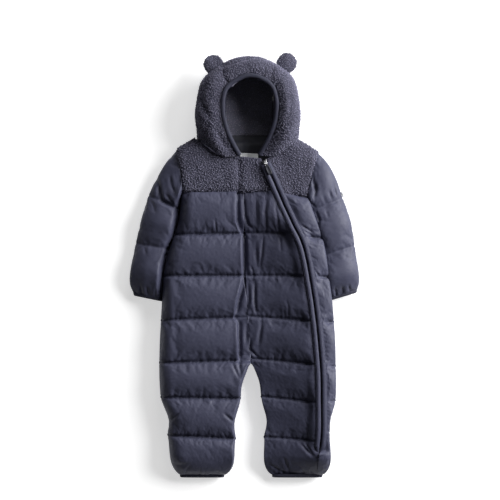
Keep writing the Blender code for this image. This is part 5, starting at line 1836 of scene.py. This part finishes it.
def zip_frame(share, top_y=ZIP_TOP_Y):
    """A place on the ground of the zip, and the direction across it towards the left side."""
    y = top_y + (ZIP_BOTTOM_Y - top_y) * share
    run = Vector((zip_x(y - 0.004) - zip_x(y + 0.004), -0.008, 0.0)).normalized()
    across = Vector((-run.y, run.x, 0.0))
    return Vector((zip_x(y), y, middle_height(y) + zip_thickness(y))), across


for side, start, end in (("right", -TAPE_TO, -TAPE_FROM), ("left", TAPE_FROM, TAPE_TO)):
    def tape_place(across_share, share):
        place, across = zip_frame(share)
        return place + across * (start + (end - start) * across_share) - ZIP_UP * TAPE_DEPTH

    bm = grid_mesh(4, 260, tape_place)
    bmesh.ops.solidify(bm, geom=bm.faces[:], thickness=0.0006)
    face_outwards(bm)
    add_piece(f"zip_tape_{side}_woven", bm, TAPE, nodes=(f"zip_tape_{side}",))

# %% Coil
COIL = Finish("zip_coil_nylon", Roughness=0.38, Specular_IOR_Level=0.5)
COIL.feed(Base_Color=COIL.blend(COIL.noise(300.0), (0.010, 0.011, 0.016), (0.018, 0.019, 0.027)))
COIL.bump(COIL.noise(2200.0, 2.0), 0.00004)
TOOTH = curl_template(0.00115, 0.00036, 180, 0.00030, 1.0, 4, 4)
COIL_PITCH = 0.00115
COIL_TOP_Y = 0.183
COIL_DEPTH = 0.0016
coil_line = [zip_frame(step / 400, COIL_TOP_Y)[0] for step in range(401)]
count = int(sum((b - a).length for a, b in zip(coil_line, coil_line[1:])) / COIL_PITCH)
places, axes = [], []
for number in range(count):
    place, across = zip_frame((number + 0.5) / count, COIL_TOP_Y)
    turned = 1 if number % 2 else -1
    places.append(place - ZIP_UP * COIL_DEPTH)
    axes.append([across * turned, ZIP_UP.cross(across) * turned, ZIP_UP])
coil = copies("zip_coil_loops", [(TOOTH, np.array(places), np.array(axes))], COIL.material)
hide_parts("zip_coil")
print("coil loops:", count)

# %% Welts
WELT_TOP_Y = 0.1925
WELT_FROM_LINE = 0.0011  # its inner edge, from the zip's line
WELT_GROOVE = 0.80  # how far across a welt its stitches run
WELT_UNDER = 0.25  # share of the way round that is its flat bottom
WELT_END = 0.025  # the last share of its length, where it narrows and sinks


def welt_height(across, down, direction):
    """How high a welt is: an arch with a groove along its stitches, uneven where they pull it in."""
    arch = max(1 - abs(2 * across - 1) ** 2.6, 0.0) ** 0.55
    groove = 0.30 * math.exp(-((across - WELT_GROOVE) / 0.050) ** 2)
    pucker = 0.060 * noise.noise(Vector((down * 150, direction * 3.0, across * 2)))
    slow = 0.075 * noise.noise(Vector((down * 38, direction * 5.0, 2.0)))
    return WELT_HEIGHT * max(arch - groove * arch + (pucker + slow) * arch, 0.0)


def welt(side, direction):
    def place(around, down):
        ground, across = zip_frame(down, WELT_TOP_Y)
        full = 1 - smooth_step((down - (1 - WELT_END)) / WELT_END)
        near = WELT_FROM_LINE - 0.0009 * (1 - full)
        on_top = around <= 1 - WELT_UNDER
        over = around / (1 - WELT_UNDER) if on_top else (1 - around) / WELT_UNDER
        height = welt_height(over, down, direction) if around < 1 - WELT_UNDER else 0.0
        wander = 0.0004 * noise.noise(Vector((down * 24, direction * 8.0, 0.0)))
        width = WELT_WIDTH * (0.55 + 0.45 * full)
        out = across * direction * (near + wander + width * over)
        return ground + out + ZIP_UP * (0.0004 + height * (0.4 + 0.6 * full))

    bm = grid_mesh(36, 320, place, around=True)
    for end_y in (WELT_TOP_Y, ZIP_BOTTOM_Y):
        end = [edge for edge in open_edges(bm) if abs(edge.verts[0].co.y - end_y) < 0.02]
        bmesh.ops.contextual_create(bm, geom=end)
    face_outwards(bm)
    add_piece("zip_welt_" + side, bm, SHELL, nodes=("welt_" + side,))
    line = []
    for step in range(292):
        ground, across = zip_frame(step / 300, WELT_TOP_Y)
        out = across * direction * (WELT_FROM_LINE + WELT_WIDTH * WELT_GROOVE)
        height = welt_height(WELT_GROOVE, step / 300, direction)
        line.append(ground + out + ZIP_UP * (height + STITCH_LIFT))
    stitch_row(f"zip_welt_{side}_stitches", line, [ZIP_UP] * len(line))


welt("right", -1)
welt("left", 1)

# %% [markdown]
# ### Slider and pull
#
# The slider stands at the top of the zip. Its body is a box that narrows towards the bottom, with
# every edge rounded. A bridge arches over it, and the link of the pull turns under the bridge. The
# pull tab is moulded: a rounded strip with a shallow field in it, thinner where it meets the link.

# %% Slider
METAL = Finish("slider_metal", Metallic=1.0)
scratches = METAL.noise(900.0, 3.0, 0.6, (1.0, 6.0, 1.0))
METAL.feed(Base_Color=METAL.blend(scratches, (0.26, 0.26, 0.27), (0.52, 0.52, 0.53)),
           Roughness=scratches * 0.20 + 0.16)
METAL.bump(scratches, 0.00003)
PULL = Finish("moulded_pull", Specular_IOR_Level=0.45)
speckle = PULL.noise(2600.0, 2.0)
PULL.feed(Base_Color=PULL.blend(speckle, (0.014, 0.015, 0.022), (0.024, 0.025, 0.035)),
          Roughness=speckle * 0.15 + 0.42)
PULL.bump(speckle, 0.00005)

top = Vector((zip_x(0.1935), 0.1935))
SLIDER_TURN = math.atan2(-0.010, zip_x(0.188) - zip_x(0.198))
SLIDER_FRAME = (Matrix.Translation((top.x, top.y, middle_height(top.y) + ZIP_THICKNESS))
                @ Matrix.Rotation(SLIDER_TURN, 4, "Z"))


def add_slider_part(name, bm, finish, body, nodes):
    """Local X runs down the zip, local Y across it."""
    bmesh.ops.transform(bm, matrix=SLIDER_FRAME, verts=bm.verts[:])
    face_outwards(bm)
    add_piece(name, bm, finish, body, nodes)


def rounded_box(low, high, rounding_by, cuts):
    """A box with its edges rounded, cut into small faces that can be shaped."""
    bm = bmesh.new()
    bmesh.ops.create_cube(bm, size=1.0)
    low, high = Vector(low), Vector(high)
    bmesh.ops.scale(bm, vec=high - low, verts=bm.verts[:])
    bmesh.ops.translate(bm, vec=(low + high) / 2, verts=bm.verts[:])
    bmesh.ops.subdivide_edges(bm, edges=bm.edges[:], cuts=cuts, use_grid_fill=True)
    edges = [edge for edge in bm.edges if edge.calc_face_angle(0) > 1.0]
    bmesh.ops.bevel(bm, geom=edges, offset=rounding_by, segments=3, profile=0.5, affect="EDGES", material=-1)
    return bm


RING_SQUARE = 0.55


def ring_mesh(length, width, strand, centre, upright):
    """A closed ring of wire: a rounded rectangle swept with a round section."""
    def place(around, along):
        turn, angle = 2 * math.pi * along, 2 * math.pi * around
        x = squarish(math.cos(turn), RING_SQUARE) * length / 2
        y = squarish(math.sin(turn), RING_SQUARE) * width / 2
        out = Vector((math.cos(turn), math.sin(turn), 0)).normalized()
        point = Vector((x, y, 0)) + out * (strand * math.cos(angle))
        point += Vector((0, 0, strand * math.sin(angle)))
        return Vector(centre) + (Vector((point.x, point.z, point.y)) if upright else point)
    return grid_mesh(10, 40, place, around=True)


bm = rounded_box((-0.0050, -0.0038, 0.0006), (0.0048, 0.0038, 0.0044), 0.0008, cuts=4)
for vertex in bm.verts:
    taper = 1 - 0.30 * smooth_step((vertex.co.x + 0.001) / 0.006)
    waist = 1 - 0.16 * math.exp(-((vertex.co.z - 0.0026) / 0.0008) ** 2)
    vertex.co.y *= taper * waist
add_slider_part("slider_body", bm, METAL.material, "suit", ("zip_slider",))
add_slider_part("slider_bridge", ring_mesh(0.0062, 0.0052, 0.0007, (-0.0003, 0.0, 0.0047), True),
                METAL.material, "suit", ())
add_slider_part("pull_ring", ring_mesh(0.0062, 0.0044, 0.00048, (0.0024, 0.0, 0.0054), False),
                METAL.material, "pull", ("pull_link",))
bm = rounded_box((0.0050, -0.0042, 0.0042), (0.0245, 0.0042, 0.0066), 0.0009, cuts=6)
for vertex in bm.verts:
    waist = smooth_step((0.0100 - vertex.co.x) / 0.0055)
    vertex.co.y *= 1 - 0.42 * waist
    end = smooth_step((vertex.co.x - 0.0205) / 0.0040)
    vertex.co.y *= 1 - 0.25 * end
    if vertex.co.z > 0.0062 and abs(vertex.co.y) < 0.0026 and 0.0100 < vertex.co.x < 0.0215:
        vertex.co.z -= 0.0007
add_slider_part("pull_strip", bm, PULL.material, "pull", ("pull_tab",))

# %% [markdown]
# ## Table, light and camera
#
# The suit lies on a pale seamless table. A large soft lamp stands low on the right, a weaker one
# beyond the hood, a pale surrounding fills the shadows, and the camera looks straight down through
# a long lens.

# %% Table
TABLE_BELOW = 0.0003  # it lies this far under the suit, so that the two never share a plane
TABLE_TOP = Finish("table_top", Base_Color=(0.80, 0.80, 0.80, 1.0), Roughness=0.9,
                   Emission_Color=(1.0, 1.0, 1.0, 1.0), Emission_Strength=0.56)
bm = bmesh.new()
bmesh.ops.create_grid(bm, x_segments=1, y_segments=1, size=6.0,
                      matrix=Matrix.Translation((0.0, 0.0, -TABLE_BELOW)))
table_mesh = as_mesh("table", bm)
table_mesh.materials.append(TABLE_TOP.material)
link("table", table_mesh)


# %% Lamps
def lamp(name, place, size, watts):
    """A round soft lamp that points at the middle of the suit."""
    light = bpy.data.lights.new(name, "AREA")
    light.shape = "DISK"
    light.size = size
    light.energy = watts
    holder = link(name, light)
    holder.location = place
    holder.rotation_euler = (-Vector(place)).to_track_quat("-Z", "Y").to_euler()


lamp("key_lamp", (2.72, 1.20, 1.50), 2.4, 246.0)
lamp("top_lamp", (0.60, 2.85, 1.55), 1.8, 31.0)
world = bpy.data.worlds.new("studio")
world.use_nodes = True
world.node_tree.nodes["Background"].inputs["Color"].default_value = (1.0, 1.0, 1.0, 1.0)
world.node_tree.nodes["Background"].inputs["Strength"].default_value = 0.06
bpy.context.scene.world = world
bpy.context.scene.view_settings.view_transform = "Standard"

# %% Camera
VIEW_CENTRE = Vector((0.0110, 0.0279, 0.045))
VIEW_WIDTH = 0.950
lens = bpy.data.cameras.new("camera")
lens.lens = 180.0
lens.sensor_width = 36.0
lens.clip_end = 50.0
camera = link("camera", lens)
camera.location = VIEW_CENTRE + Vector((0, 0, VIEW_WIDTH * lens.lens / lens.sensor_width))
bpy.context.scene.camera = camera
